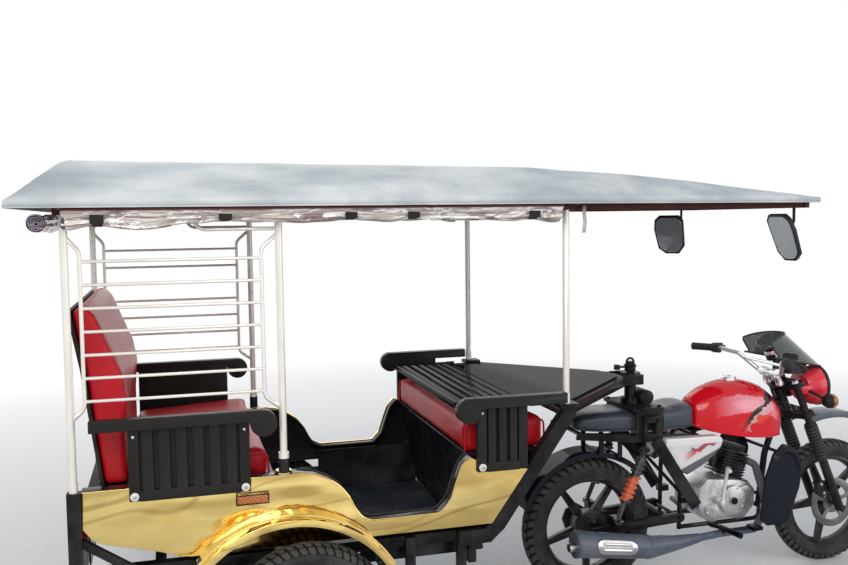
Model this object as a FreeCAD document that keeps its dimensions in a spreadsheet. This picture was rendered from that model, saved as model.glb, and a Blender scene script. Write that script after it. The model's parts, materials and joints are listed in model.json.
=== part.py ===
import FreeCAD, Part
import math
import os
from types import SimpleNamespace

from FreeCAD import Matrix, Placement, Rotation, Vector

# Passenger rickshaw: a two wheeled carriage whose nose rides on a kingpin
# above the seat of a motorcycle. Millimetres, X forward, Y left, Z up.
# The document works from the motorcycle's rear axle on the ground, and every
# piece is then moved back so that the origin lies under the middle.

os.makedirs("parts", exist_ok=True)
doc = FreeCAD.newDocument("Rickshaw")
sheet = doc.addObject("Spreadsheet::Sheet", "Sizes")

# Driving sizes: alias, value, meaning.
SIZES = (
    ("gap_fit", 0.3, "clearance between curved pieces that nearly touch"),
    ("pin_fit", 0.3, "radial clearance of pins in their bores"),
    ("post_inset", 7, "post rows inside the body side skin"),
    ("post_rear_x", -2113, "rear posts"),
    ("post_mid_x", -1421, "middle posts"),
    ("post_front_x", -361, "front posts"),
    ("post_dia", 25, "post tube"),
    ("post_foot_z", 1000, "foot of the front posts"),
    ("socket_dia", 36, "black socket at a post foot"),
    ("socket_len", 70, "length of that socket"),
    ("cuff_dia", 29, "cuff of the other posts"),
    ("cuff_len", 36, "length of that cuff"),
    ("flange_dia", 58, "flange under the middle post"),
    ("flange_thick", 8, "thickness of that flange"),
    ("roof_rail_z", 1725, "underside of the canopy rails"),
    ("roof_rail_wide", 24, "side of the square canopy rails"),
    ("rack_dia", 13, "tube of the side rack"),
    ("rack_low_z", 1121, "lowest bar of the side rack"),
    ("rack_pitch", 75.7, "bar spacing of the side rack"),
    ("rack_bars", 7, "bars of the side rack"),
    ("rack_inset_rear", 55, "rack upright ahead of the rear post"),
    ("rack_inset_front", 60, "rack upright behind the middle post"),
    ("rack_foot_z", 1055, "where the rack foot meets the post"),
    ("rack_top_z", 1660, "where the rack top meets the post"),
    ("rack_bend", 40, "bend of the rack tube"),
    ("handle_z", 1673, "hand rail behind the middle post"),
    ("handle_back_x", -1700, "rear end of that hand rail"),
    ("body_half", 580, "body side skin, distance from the middle"),
    ("body_depth", 60, "depth of the folded body side"),
    ("body_skin", 4, "thickness of the body side sheet"),
    ("body_top_z", 825, "top of the body sides"),
    ("body_rear_x", -2081, "rear end of the body sides"),
    ("body_front_x", -520, "front tip of the body sides"),
    ("entry_rear_x", -1116, "rear end of the entry sill"),
    ("entry_front_x", -864, "front end of the entry sill"),
    ("sill_top_z", 632, "top of the entry sill"),
    ("sill_low_z", 573, "underside of the entry sill"),
    ("rail_inset", 80, "chassis rails inside the body side skin"),
    ("rail_wide", 40, "side of the square chassis rails"),
    ("rail_z", 500, "underside of the chassis rails"),
    ("cross_wide", 30, "side of the floor cross tubes"),
    ("floor_z", 446, "top of the footwell floor"),
    ("floor_skin", 6, "floor and seat box sheet"),
    ("tub_inset", 102, "footwell walls inside the body side skin"),
    ("riser_x", -1450, "front riser of the rear bench"),
    ("seat_box_back_x", -2072, "back wall of the rear seat box"),
    ("deck_rear_z", 800, "deck under the rear cushion"),
    ("deck_front_z", 820, "deck under the front cushion"),
    ("bench_inset", 62, "bench decks inside the body side skin"),
    ("seat_inset", 80, "cushions inside the body side skin"),
    ("cushion_front_x", -1460, "front face of the rear cushion"),
    ("cushion_back_x", -1941, "rear face of the rear cushion"),
    ("cushion_thick", 100, "rear cushion at its front"),
    ("cushion_round", 22, "rounding of the cushions"),
    ("bench_foot_x", -665, "foot of the front bench's leaning wall"),
    ("bench_back_x", -745, "footwell side of the front cushion"),
    ("bench_nose_x", -412, "forward side of the front cushion"),
    ("bench_thick", 125, "front cushion"),
    ("back_top_z", 1428, "top of the rear backrest"),
    ("board_thick", 12, "board behind the rear backrest"),
    ("corner_wide", 42, "side of the rear corner tubes"),
    ("goose_wide", 54, "side beam along the body's front edge"),
    ("goose_thick", 40, "thickness of that beam"),
    ("nose_z", 945, "underside of the nose frame"),
    ("nose_wide", 40, "side of the nose frame tubes"),
    ("tray_thick", 8, "glossy tray on the nose frame"),
    ("tray_back_x", -480, "rear edge of the tray"),
    ("fold_hinge_x", -496, "hinge of the folding backrest"),
    ("fold_hinge_z", 1000, "hinge height of the folding backrest"),
    ("fold_hinge_dia", 14, "knuckles of that hinge"),
    ("fold_back_x", -770, "rear edge of the folded backrest"),
    ("fold_inset", 110, "folded backrest inside the body side skin"),
    ("fold_slats", 6, "slats of the folding backrest"),
    ("slat_wide", 30, "width of those slats"),
    ("slat_thick", 10, "thickness of those slats"),
    ("arm_thick", 40, "armrests, across the vehicle"),
    ("arm_bar", 38, "armrest bar height"),
    ("arm_disc", 45, "round armrest end, radius"),
    ("arm_rear_z", 1024, "underside of the rear armrest"),
    ("arm_front_z", 1011, "underside of the front armrest"),
    ("panel_thick", 25, "slatted panel under an armrest"),
    ("canopy_back_x", -2260, "rear edge of the canopy"),
    ("canopy_shoulder_x", -300, "where the canopy starts to narrow"),
    ("canopy_nose_x", 820, "front edge of the canopy"),
    ("canopy_over", 109, "canopy outside the post rows"),
    ("canopy_narrow", 182, "canopy narrower at its front edge, each side"),
    ("canopy_hem_z", 1746, "lower edge of the canopy"),
    ("canopy_hem", 26, "height of the canopy hem"),
    ("canopy_slope", 282, "sloping side of the canopy, across"),
    ("canopy_top_back_x", -2115, "rear end of the flat top"),
    ("canopy_top_front_x", -420, "front end of the flat top"),
    ("canopy_back_z", 1912, "top of the canopy at the rear"),
    ("canopy_front_z", 1893, "top of the canopy at the kink"),
    ("canopy_skin", 4, "thickness of the canopy"),
    ("roll_dia", 66, "rolled side curtains"),
    ("roll_z", 1700, "centre of the rolled curtains"),
    ("roll_back_x", -2100, "rear end of the side rolls"),
    ("roll_front_x", -410, "front end of the side rolls"),
    ("rear_roll_x", -2186, "centre of the rear roll"),
    ("mirror_x", 690, "hanging mirrors"),
    ("mirror_hook_x", 745, "place of their stems on the canopy frame"),
    ("mirror_y", 450, "hanging mirrors, distance from the middle"),
    ("mirror_z", 1603, "middle of a mirror"),
    ("mirror_tall", 206, "height of a mirror"),
    ("mirror_wide", 150, "width of a mirror"),
    ("mirror_thick", 16, "thickness of a mirror"),
    ("mirror_lean", 22, "top of a mirror towards the rear, degrees"),
    ("mirror_turn", 44, "left mirror turned to the rider, degrees"),
    ("axle_x", -1358, "carriage axle"),
    ("wheel_reach", 55, "carriage wheels outside the body side skin"),
    ("axle_dia", 46, "carriage axle tube"),
    ("spindle_dia", 20, "carriage wheel spindle"),
    ("cart_tyre_radius", 300, "carriage tyre"),
    ("cart_tyre_half", 45, "carriage tyre, half width"),
    ("cart_rim_radius", 212, "carriage rim"),
    ("cart_rim_half", 34, "carriage rim, half width"),
    ("cart_spokes", 18, "spoke pairs of a carriage wheel"),
    ("spoke_dia", 5, "those spokes"),
    ("fender_x", -1412, "centre of the wheel arch"),
    ("fender_z", 290, "height of that centre"),
    ("fender_radius", 412, "wheel arch"),
    ("fender_reach", 122, "lip of the wheel arch outside the body side skin"),
    ("fender_skin", 4, "sheet of the wheel arch"),
    ("fender_lip", 24, "depth of its lip"),
    ("spring_half", 400, "leaf spring, half length"),
    ("spring_wide", 44, "leaf spring width"),
    ("leaf_thick", 8, "one leaf"),
    ("leaf_count", 4, "leaves of a spring"),
    ("step_low_z", 270, "tread of the side steps"),
    ("step_back_x", -995, "rear end of that tread"),
    ("step_front_x", -740, "front end of that tread"),
    ("step_reach", 52, "tread outside the body side skin"),
    ("kingpin_x", 220, "kingpin"),
    ("kingpin_dia", 32, "kingpin"),
    ("head_radius", 46, "swivel head on the kingpin"),
    ("head_tall", 50, "height of that head"),
    ("trunnion_dia", 18, "cross pins of that head"),
    ("kick_x", 596, "shaft of the kick lever"),
    ("kick_z", 398, "shaft of the kick lever"),
    ("bush_dia", 66, "cross tube on the saddle plate"),
    ("brace_wide", 54, "flat brace from the saddle bracket to the frame"),
    ("seat_bar_wide", 30, "side bar under the seat"),
    ("cheek_thick", 14, "cheeks at the nose tip"),
    ("wheelbase", 1287, "motorcycle wheelbase"),
    ("rear_radius", 309, "motorcycle rear tyre"),
    ("rear_tyre_half", 50, "rear tyre, half width"),
    ("front_radius", 300, "motorcycle front tyre"),
    ("front_tyre_half", 42, "front tyre, half width"),
    ("moto_rim_radius", 222, "cast rims"),
    ("rear_rim_half", 36, "rear rim, half width"),
    ("front_rim_half", 30, "front rim, half width"),
    ("rim_wall", 14, "radial depth of a cast rim"),
    ("cast_spokes", 5, "spokes of a cast wheel"),
    ("drum_radius", 78, "rear brake drum"),
    ("hub_half", 60, "rear hub, half length"),
    ("disc_radius", 120, "front brake disc"),
    ("disc_thick", 5, "front brake disc"),
    ("rake", 22.8, "steering axis, degrees from upright"),
    ("fork_offset", 35, "fork ahead of the steering axis"),
    ("fork_half", 96, "fork legs, half spacing"),
    ("fork_dia", 42, "fork slider"),
    ("stanchion_dia", 34, "fork upper tube"),
    ("head_low_z", 765, "lower end of the steering head"),
    ("head_high_z", 868, "upper end of the steering head"),
    ("head_tube_dia", 50, "steering head tube"),
    ("stem_dia", 28, "steering stem"),
    ("seat_wide", 125, "rider's seat, half width"),
    ("tank_rear_x", 512, "rear end of the fuel tank"),
    ("seat_rail_half", 104, "seat rails, half spacing"),
    ("frame_dia", 30, "main frame tubes"),
    ("stay_dia", 20, "light frame tubes"),
    ("cradle_half", 90, "cradle tubes, half spacing"),
    ("engine_half", 105, "crankcase, half width"),
    ("swing_pivot_x", 410, "swingarm pivot"),
    ("swing_pivot_z", 335, "height of that pivot"),
    ("swing_half", 110, "swingarm arms, half spacing"),
    ("moto_axle_dia", 15, "motorcycle wheel axles"),
    ("guard_y", 190, "leg guards, distance from the middle"),
    ("guard_thick", 20, "thickness of a leg guard"),
    ("hoop_dia", 17, "tube round a leg guard"),
    ("muffler_y", -197, "exhaust silencer"),
    ("shock_y", 152, "rear shock absorbers"),
    ("stand_y", 150, "side stand"),
    ("bar_dia", 22, "handlebar tube"),
    ("grip_dia", 33, "handlebar grip"),
    ("screen_nose_x", 1262, "front of the fly screen at its foot"),
    ("screen_low_z", 945, "foot of the fly screen"),
    ("screen_high_z", 1137, "top of the fly screen"),
    ("screen_lean", 1.22, "fly screen back for each unit up"),
    ("screen_deep", 300, "depth of its plan curve"),
    ("screen_half", 116, "half width of its plan curve"),
    ("screen_thick", 3, "fly screen sheet"),
    ("screen_peg_y", 89.8, "pegs that carry the screen, distance from the middle"),
    ("perch_thread_dia", 10, "mirror thread in the lever perch"),
    ("perch_depth", 16, "depth of that thread"),
)
for row, (alias, value, meaning) in enumerate(SIZES, 1):
    sheet.set(f"A{row}", meaning)
    sheet.set(f"B{row}", str(value))
    sheet.setAlias(f"B{row}", alias)
doc.recompute()
d = SimpleNamespace(**{alias: float(sheet.get(alias)) for alias, _, _ in SIZES})

# Widths that follow from the body side skin.
d.post_half = d.body_half - d.post_inset
d.rail_y = d.body_half - d.rail_inset
d.tub_half = d.body_half - d.tub_inset
d.bench_half = d.body_half - d.bench_inset
d.seat_half = d.body_half - d.seat_inset
d.fold_half = d.body_half - d.fold_inset
d.wheel_y = d.body_half + d.wheel_reach
d.fender_out = d.body_half + d.fender_reach
d.canopy_half = d.post_half + d.canopy_over
d.canopy_nose_half = d.canopy_half - d.canopy_narrow
d.canopy_top_half = d.canopy_half - d.canopy_slope

# Values that follow from the driving sizes.
front_end = d.wheelbase + d.front_radius
shift = -(front_end + d.canopy_back_x) / 2
nose_top = d.nose_z + d.nose_wide
rail_top = d.rail_z + d.rail_wide
post_r = d.post_dia / 2
roll_r = d.roll_dia / 2
roll_y = d.post_half + post_r + roll_r + d.gap_fit
rake = math.radians(d.rake)
steer_up = Vector(-math.sin(rake), 0, math.cos(rake))
steer_fwd = Vector(math.cos(rake), 0, math.sin(rake))
front_axle = Vector(d.wheelbase, 0, d.front_radius)
steer_foot = front_axle - steer_fwd * d.fork_offset
UP = Vector(0, 0, 1)
LEFT = Vector(0, 1, 0)
SIDES = (("right", -1), ("left", 1))
pieces = []


def on_steer(height, ahead=0.0, across=0.0):
    """Point at a height on the steering axis, moved ahead and across."""
    along = (height - steer_foot.z) / steer_up.z
    return steer_foot + steer_up * along + steer_fwd * ahead + LEFT * across


def box(x0, x1, y0, y1, z0, z1):
    """Upright block between two corners, in any order."""
    low = Vector(min(x0, x1), min(y0, y1), min(z0, z1))
    return Part.makeBox(abs(x1 - x0), abs(y1 - y0), abs(z1 - z0), low)


def rod(start, end, radius):
    """Round bar between two points."""
    run = end - start
    return Part.makeCylinder(radius, run.Length, start, run)


def side_prism(points, y0, y1):
    """Side view outline of x, z points, as thick as the y range."""
    loop = [Vector(x, min(y0, y1), z) for x, z in points]
    face = Part.Face(Part.makePolygon(loop + [loop[0]]))
    return face.extrude(Vector(0, abs(y1 - y0), 0))


def plan_prism(points, z0, z1):
    """Plan view outline of x, y points, as thick as the z range."""
    loop = [Vector(x, y, z0) for x, y in points]
    face = Part.Face(Part.makePolygon(loop + [loop[0]]))
    return face.extrude(Vector(0, 0, z1 - z0))


def strip(points, wide, y0, y1):
    """Flat bar that follows x, z points in side view, mitred at its bends."""
    runs = [Vector(b[0] - a[0], 0, b[1] - a[1]).normalize() for a, b in zip(points, points[1:])]
    rows = []
    for index, (x, z) in enumerate(points):
        before = runs[max(index - 1, 0)]
        after = runs[min(index, len(runs) - 1)]
        mitre = (before + after).normalize()
        reach = wide / 2 / max(mitre.dot(before), 0.2)
        rows.append((Vector(x, 0, z), Vector(-mitre.z, 0, mitre.x) * reach))
    upper = [(at.x + off.x, at.z + off.z) for at, off in rows]
    lower = [(at.x - off.x, at.z - off.z) for at, off in reversed(rows)]
    return side_prism(upper + lower, y0, y1)


def tube(points, radius, bend):
    """Round tube through the points, with tangent arcs at its bends."""
    edges = []
    start = points[0]
    for before, corner, after in zip(points, points[1:], points[2:]):
        back = (before - corner).normalize()
        ahead = (after - corner).normalize()
        half = back.getAngle(ahead) / 2
        leg = bend / math.tan(half)
        middle = corner + (back + ahead).normalize() * (bend / math.sin(half) - bend)
        first = corner + back * leg
        last = corner + ahead * leg
        edges.append(Part.makeLine(start, first))
        edges.append(Part.Arc(first, middle, last).toShape())
        start = last
    edges.append(Part.makeLine(start, points[-1]))
    run = (points[1] - points[0]).normalize()
    ring = Part.Wire(Part.makeCircle(radius, points[0], run))
    return Part.Wire(edges).makePipeShell([ring], True, False)


def turned(profile, centre):
    """Ring with a radius, y outline, turned round a cross axis at centre."""
    loop = [Vector(centre.x + radius, y, centre.z) for radius, y in profile]
    face = Part.Face(Part.makePolygon(loop + [loop[0]]))
    return face.revolve(centre, LEFT, 360)


def spun(start, end, profile):
    """Solid with a distance, radius outline, turned round the line from start to end."""
    run = (end - start).normalize()
    out = Vector(0, 1, 0)
    loop = [start + run * along + out * radius for along, radius in profile]
    face = Part.Face(Part.makePolygon(loop + [loop[0]]))
    return face.revolve(start, run, 360)


def arch(profile, x, z, start, sweep):
    """Part of a ring round a cross axis, from an angle ahead of level."""
    centre = Vector(x, 0, z)
    loop = [Vector(x + radius, y, z) for radius, y in profile]
    face = Part.Face(Part.makePolygon(loop + [loop[0]]))
    face.rotate(centre, LEFT, -start)
    return face.revolve(centre, LEFT, -sweep)


def fuse(shapes, holes=()):
    """One shape from pieces that touch, less its holes, with faces merged where they merge soundly."""
    shapes = list(shapes)
    whole = shapes[0].multiFuse(shapes[1:])
    for hole in holes:
        whole = whole.cut(hole)
    merged = whole.copy().removeSplitter()
    return merged if merged.isValid() else whole


def both_sides(shape):
    """The shape with its mirror image on the other side."""
    other = shape.mirror(Vector(0, 0, 0), LEFT)
    return [shape, other]


def piece(label, shape):
    """Sub-part with a shape of its own, placed from the origin's shift."""
    feature = doc.addObject("Part::Feature", label)
    feature.Label = label
    feature.Shape = shape
    feature.Placement = Placement(Vector(shift, 0, 0), Rotation())
    pieces.append(feature)
    return feature


def origin_plane(body, role):
    """One of the body's own origin planes."""
    return next(item for item in body.Origin.OriginFeatures if item.Role == role)


def design(label):
    """Empty design body, placed from the origin's shift."""
    body = doc.addObject("PartDesign::Body", label)
    body.Label = label
    body.Placement = Placement(Vector(shift, 0, 0), Rotation())
    pieces.append(body)
    return body


def profile_sketch(body, name, role, points, offset=0.0):
    """Closed sketch of straight lines on one of the body's planes."""
    sketch = body.newObject("Sketcher::SketchObject", name)
    sketch.AttachmentSupport = [(origin_plane(body, role), "")]
    sketch.MapMode = "FlatFace"
    sketch.AttachmentOffset = Placement(Vector(0, 0, offset), Rotation())
    loop = [Vector(u, v, 0) for u, v in points]
    for start, end in zip(loop, loop[1:] + loop[:1]):
        sketch.addGeometry(Part.LineSegment(start, end), False)
    return sketch


def pad(body, name, sketch, length, both=False):
    """Pad of a sketch, its length bound to a cell."""
    feature = body.newObject("PartDesign::Pad", name)
    feature.Profile = sketch
    feature.Midplane = both
    feature.setExpression("Length", length)
    return feature


def rounded(body, name, base, picks, radius):
    """Fillet of the edges that a test picks."""
    doc.recompute()
    edges = [f"Edge{n}" for n, edge in enumerate(base.Shape.Edges, 1) if picks(edge)]
    fillet = body.newObject("PartDesign::Fillet", name)
    fillet.Base = (base, edges)
    fillet.setExpression("Radius", radius)
    return fillet


# Chassis of the carriage: rails, cross tubes, corner tubes, side beams,
# and the nose frame with the cheeks for the swivel head.
def chassis():
    half_rail = d.rail_wide / 2
    rail_in = d.rail_y - half_rail
    rail_out = d.rail_y + half_rail
    corner_in = d.post_half - d.corner_wide / 2
    corner_back = d.post_rear_x - d.corner_wide / 2 + 10
    corner_front = corner_back + d.corner_wide
    rail_front = -618
    beam_y0 = d.body_half - d.body_depth + 5
    beam_y1 = beam_y0 + d.goose_thick
    beam_back = -786
    beam = ((beam_back, 520), (-672, 524), (-628, 562), (-341, 962))
    cross_z = d.floor_z - d.floor_skin - d.cross_wide
    parts = []
    for _, side in SIDES:
        parts.append(box(corner_back, rail_front, side * rail_in, side * rail_out, d.rail_z, rail_top))
        parts.append(strip(beam, d.goose_wide, side * beam_y0, side * beam_y1))
        parts.append(box(beam_back, -660, side * rail_out, side * beam_y0, d.rail_z, rail_top))
        parts.append(box(corner_back, corner_front, side * corner_in, side * (corner_in + d.corner_wide),
                         d.rail_z, d.body_top_z))
        parts.append(box(corner_back, corner_front, side * rail_in, side * corner_in, d.rail_z, rail_top))
        brace = ((corner_front - 6, 655), (-1905, rail_top - 8))
        parts.append(strip(brace, 26, side * corner_in, side * (corner_in + 24)))
        parts.append(box(-1950, -1880, side * rail_out, side * (corner_in + 24), d.rail_z, rail_top))
        for x in (-1205, -1050, -720):
            parts.append(box(x - 15, x + 15, side * rail_in, side * rail_out, cross_z, d.rail_z))
        post_pad = d.post_half + post_r + 8
        parts.append(box(d.post_front_x - 30, d.post_front_x + 45, side * beam_y0, side * post_pad,
                         nose_top, d.post_foot_z))
        parts.append(box(d.post_front_x - 6, d.post_front_x + 45, side * beam_y0, side * beam_y1,
                         d.nose_z, nose_top))
        tip = ((-345 - d.nose_wide / 2, side * (beam_y0 + 10)), (-345 + d.nose_wide / 2, side * (beam_y0 + 10)),
               (d.kingpin_x - 64, side * 80), (d.kingpin_x - 64, side * 38), (d.kingpin_x - 100, side * 38))
        parts.append(plan_prism(tip, d.nose_z, nose_top))
    parts.append(box(-365, -325, -beam_y0 - 20, beam_y0 + 20, d.nose_z, nose_top))
    for x in (corner_back + 20, -1840, -637):
        parts.append(box(x - 18, x + 18, -rail_in, rail_in, d.rail_z, rail_top))
    for x in (-1205, -1050, -720):
        parts.append(box(x - 15, x + 15, -rail_out, rail_out, cross_z, cross_z + d.cross_wide))
    gap_y = d.head_radius + 10
    parts.append(box(d.kingpin_x - 110, d.kingpin_x - 62, -gap_y - d.cheek_thick, gap_y + d.cheek_thick,
                     d.nose_z, nose_top))
    for _, side in SIDES:
        cheek = box(d.kingpin_x - 70, d.kingpin_x + 30, side * gap_y, side * (gap_y + d.cheek_thick),
                    d.nose_z, nose_top + 5)
        parts.append(cheek)
    frame = fuse(parts)
    bore = rod(Vector(d.kingpin_x, -200, head_mid), Vector(d.kingpin_x, 200, head_mid),
               d.trunnion_dia / 2 + d.pin_fit)
    return frame.cut(bore)


head_mid = d.nose_z + 22


def side_steps():
    """Step hoop under each entry, hung from the chassis rail."""
    hoops = []
    rail_out = d.rail_y + d.rail_wide / 2
    hanger_y = rail_out + 4
    tread = d.step_low_z
    rear = d.step_back_x + 30
    front = d.step_front_x - 30
    beam_low = d.rail_z + d.rail_wide / 2 - d.goose_wide / 2
    for _, side in SIDES:
        parts = [box(d.step_back_x, d.step_front_x, side * rail_out, side * (d.body_half + d.step_reach),
                     tread - 10, tread)]
        for x, top in ((rear, rail_top), (front, beam_low)):
            parts.append(box(x - 18, x + 18, side * hanger_y, side * (hanger_y + 22), tread, top))
        parts.append(box(rear - 18, rear + 18, side * rail_out, side * hanger_y, d.rail_z, rail_top))
        hoops.append(fuse(parts))
    return Part.makeCompound(hoops)


def body_side(side):
    """Pressed body side: outer skin with a folded edge all round."""
    top = d.body_top_z
    low = d.sill_low_z
    sill = d.sill_top_z
    back = d.body_rear_x
    front = d.body_front_x
    entry = d.entry_rear_x
    nose = d.entry_front_x
    outline = ((back, top), (back, top - 122), (back + 29, top - 161), (back + 63, top - 180), (back + 240, low + 28),
               (back + 301, low + 7), (back + 341, low), (front - 142, low), (front, top - 60), (front - 170, top - 28),
               (front - 227, top + 5), (nose + 86, top - 25), (nose + 64, top - 83), (nose + 42, sill + 43),
               (nose, sill), (entry, sill), (entry - 36, sill + 17), (entry - 58, sill + 48), (entry - 80, sill + 94),
               (entry - 112, sill + 134), (entry - 152, sill + 163), (entry - 200, top - 9), (entry - 256, top))
    loop = [Vector(x, 0, z) for x, z in outline]
    wire = Part.makePolygon(loop + [loop[0]])
    inner = wire.makeOffset2D(-d.body_skin, 2)
    if inner.BoundBox.XLength > wire.BoundBox.XLength:
        inner = wire.makeOffset2D(d.body_skin, 2)
    inside = d.body_half - d.body_depth
    solid = Part.Face(wire).extrude(Vector(0, d.body_depth, 0))
    hollow = Part.Face(inner).extrude(Vector(0, d.body_depth, 0))
    solid.translate(Vector(0, inside, 0))
    hollow.translate(Vector(0, inside - d.body_skin, 0))
    skin = solid.cut(hollow)
    lip = d.fender_skin
    r = d.fender_radius
    profile = ((r - lip, d.body_half), (r, d.body_half), (r, d.fender_out), (r - d.fender_lip, d.fender_out),
               (r - d.fender_lip, d.fender_out - lip), (r - lip, d.fender_out - lip))
    guard = arch(profile, d.fender_x, d.fender_z, 22, 134)
    bead_out = d.fender_out - 39
    bead_profile = ((r, bead_out - 8), (r + 6, bead_out - 8), (r + 6, bead_out), (r, bead_out))
    bead = arch(bead_profile, d.fender_x, d.fender_z, 22, 134)
    whole = fuse((skin, guard, bead))
    return whole if side > 0 else whole.mirror(Vector(0, 0, 0), LEFT)


def floor_pan():
    """Footwell floor with its two low side walls."""
    rear = d.riser_x + d.floor_skin
    front = d.bench_foot_x - 1.4
    plate = box(rear, front, -d.tub_half, d.tub_half, d.floor_z - d.floor_skin, d.floor_z)
    walls = [box(-1140, front, side * d.tub_half, side * (d.tub_half - 3), d.floor_z, d.sill_top_z - 6)
             for _, side in SIDES]
    return fuse([plate] + walls)


def rear_seat_box():
    """Riser and deck that carry the rear cushion, and the back wall."""
    half = d.tub_half - 8
    skin = d.floor_skin
    back = d.seat_box_back_x
    top = d.deck_rear_z
    return fuse((
        box(d.riser_x, d.riser_x + skin, -half, half, d.floor_z - skin, top),
        box(back, d.riser_x + skin, -d.bench_half, d.bench_half, top - skin, top),
        box(back, back + skin, -half, half, rail_top + 2, top),
    ))


def front_seat_box():
    """Leaning walls and deck that carry the front cushion."""
    skin = d.floor_skin
    top = d.deck_front_z
    heel = d.bench_foot_x
    foot = ((heel, d.floor_z - skin), (heel + skin, d.floor_z - skin), (-726 + skin, top), (-732, top))
    nose = ((-560, 600), (-560 + skin * 1.3, 600), (-418 + skin, top), (-424, top))
    return fuse((
        side_prism(foot, -d.tub_half + 8, d.tub_half - 8),
        side_prism(nose, -d.tub_half + 8, d.tub_half - 8),
        box(-732, -412, -d.bench_half, d.bench_half, top - skin, top),
        box(-690, -546, -d.tub_half + 8, d.tub_half - 8, 600, 600 + skin),
    ))


def cushion_rear():
    body = design("cushion_rear")
    low = d.deck_rear_z + d.gap_fit
    points = ((d.cushion_front_x, low), (d.cushion_back_x, low), (d.cushion_back_x, low + d.cushion_thick - 30),
              (d.cushion_front_x, low + d.cushion_thick))
    sketch = profile_sketch(body, "CushionRearSide", "XZ_Plane", points)
    block = pad(body, "CushionRearPad", sketch, "2 * (Sizes.body_half - Sizes.seat_inset)", both=True)
    rounded(body, "CushionRearRound", block, lambda edge: edge.BoundBox.ZMin > low + 20, "Sizes.cushion_round")


def cushion_front():
    body = design("cushion_front")
    low = d.deck_front_z + d.gap_fit
    points = ((d.bench_back_x, low), (d.bench_nose_x, low), (d.bench_nose_x, low + d.bench_thick - 4),
              (d.bench_back_x, low + d.bench_thick - 4))
    sketch = profile_sketch(body, "CushionFrontSide", "XZ_Plane", points)
    block = pad(body, "CushionFrontPad", sketch, "2 * (Sizes.body_half - Sizes.seat_inset)", both=True)
    rounded(body, "CushionFrontRound", block, lambda edge: edge.BoundBox.ZMin > low + 20, "Sizes.cushion_round")


back_low = d.deck_rear_z + 10
BACK_LINE = ((-2011, back_low), (-2064, 1215), (-2099, 1410))


def backrest_rear():
    body = design("backrest_rear")
    top = d.back_top_z
    front = d.cushion_back_x - d.gap_fit
    points = ((front, back_low), (front, 970), (-1929, 1099), (-1942, 1190), (-2030, 1400),
              (-2056, top), (-2084, top)) + BACK_LINE[::-1]
    sketch = profile_sketch(body, "BackrestSide", "XZ_Plane", points)
    pad(body, "BackrestPad", sketch, "2 * (Sizes.body_half - Sizes.seat_inset)", both=True)


def backboard():
    """Board that the rear backrest leans on."""
    gap = d.gap_fit
    thick = d.board_thick
    foot_x = BACK_LINE[0][0] - gap
    front = ((foot_x, d.deck_rear_z + gap),) + tuple((x - gap, z) for x, z in BACK_LINE)
    rear = tuple((x - thick, z) for x, z in reversed(front))
    return side_prism(front + rear, -d.seat_half, d.seat_half)


def posts(side):
    """Three posts of one side with their sockets, and the curtain rack."""
    y = side * d.post_half
    parts = []
    flange_top = d.body_top_z + d.flange_thick
    # Columns: x, foot height, cuff radius, cuff length.
    feet = ((d.post_rear_x + 10, d.body_top_z, d.cuff_dia / 2, d.cuff_len),
            (d.post_mid_x, flange_top, d.socket_dia / 2, d.socket_len),
            (d.post_front_x, d.post_foot_z, d.cuff_dia / 2, d.cuff_len))
    for x, z, cuff_r, cuff_len in feet:
        parts.append(rod(Vector(x, y, z), Vector(x, y, d.roof_rail_z), post_r))
        parts.append(rod(Vector(x, y, z), Vector(x, y, z + cuff_len), cuff_r))
    parts.append(rod(Vector(d.post_mid_x, side * (d.body_half - d.flange_dia / 2), d.body_top_z),
                     Vector(d.post_mid_x, side * (d.body_half - d.flange_dia / 2), flange_top), d.flange_dia / 2))
    rear = d.post_rear_x + d.rack_inset_rear
    front = d.post_mid_x - d.rack_inset_front
    rack_r = d.rack_dia / 2
    bar_top = d.rack_low_z + d.rack_pitch * (d.rack_bars - 1)
    for post_x, x in ((d.post_rear_x + 10, rear), (d.post_mid_x, front)):
        path = [Vector(post_x, y, d.rack_foot_z), Vector(x, y, d.rack_low_z - 22),
                Vector(x, y, bar_top + 32), Vector(post_x, y, d.rack_top_z)]
        parts.append(tube(path, rack_r, d.rack_bend))
    handle = [Vector(d.post_mid_x, y, d.handle_z), Vector(d.handle_back_x, y, d.handle_z),
              Vector(d.handle_back_x, y, d.roof_rail_z)]
    parts.append(tube(handle, rack_r, d.rack_bend))
    for n in range(int(d.rack_bars)):
        z = d.rack_low_z + n * d.rack_pitch
        parts.append(rod(Vector(rear, y, z), Vector(front, y, z), rack_r * 0.8))
    return fuse(parts)


def armrest(side, low, back, front, disc_at, panel_back, panel_front, panel_low, slats):
    """Armrest bar with a round end, over a slatted panel."""
    inner = side * d.body_half
    outer = side * (d.body_half + d.arm_thick)
    top = low + d.arm_bar
    panel_out = side * (d.body_half + d.panel_thick)
    parts = [box(back, front, inner, outer, low, top)]
    disc_z = top - d.arm_disc
    parts.append(rod(Vector(disc_at, inner, disc_z), Vector(disc_at, outer, disc_z), d.arm_disc))
    post_wide = 34
    for x in (panel_back, panel_front - post_wide):
        parts.append(box(x, x + post_wide, inner, panel_out, panel_low, low))
    rail_back = panel_back + post_wide
    rail_front = panel_front - post_wide
    parts.append(box(rail_back, rail_front, inner, side * (d.body_half + d.panel_thick + 6), panel_low, panel_low + 34))
    parts.append(box(rail_back, rail_front, inner, side * (d.body_half + 6), panel_low + 34, low))
    pitch = (rail_front - rail_back) / slats
    for n in range(slats):
        x = rail_back + (n + 0.5) * pitch
        parts.append(box(x - pitch * 0.33, x + pitch * 0.33, inner, panel_out, panel_low + 34, low))
    return fuse(parts)


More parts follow.
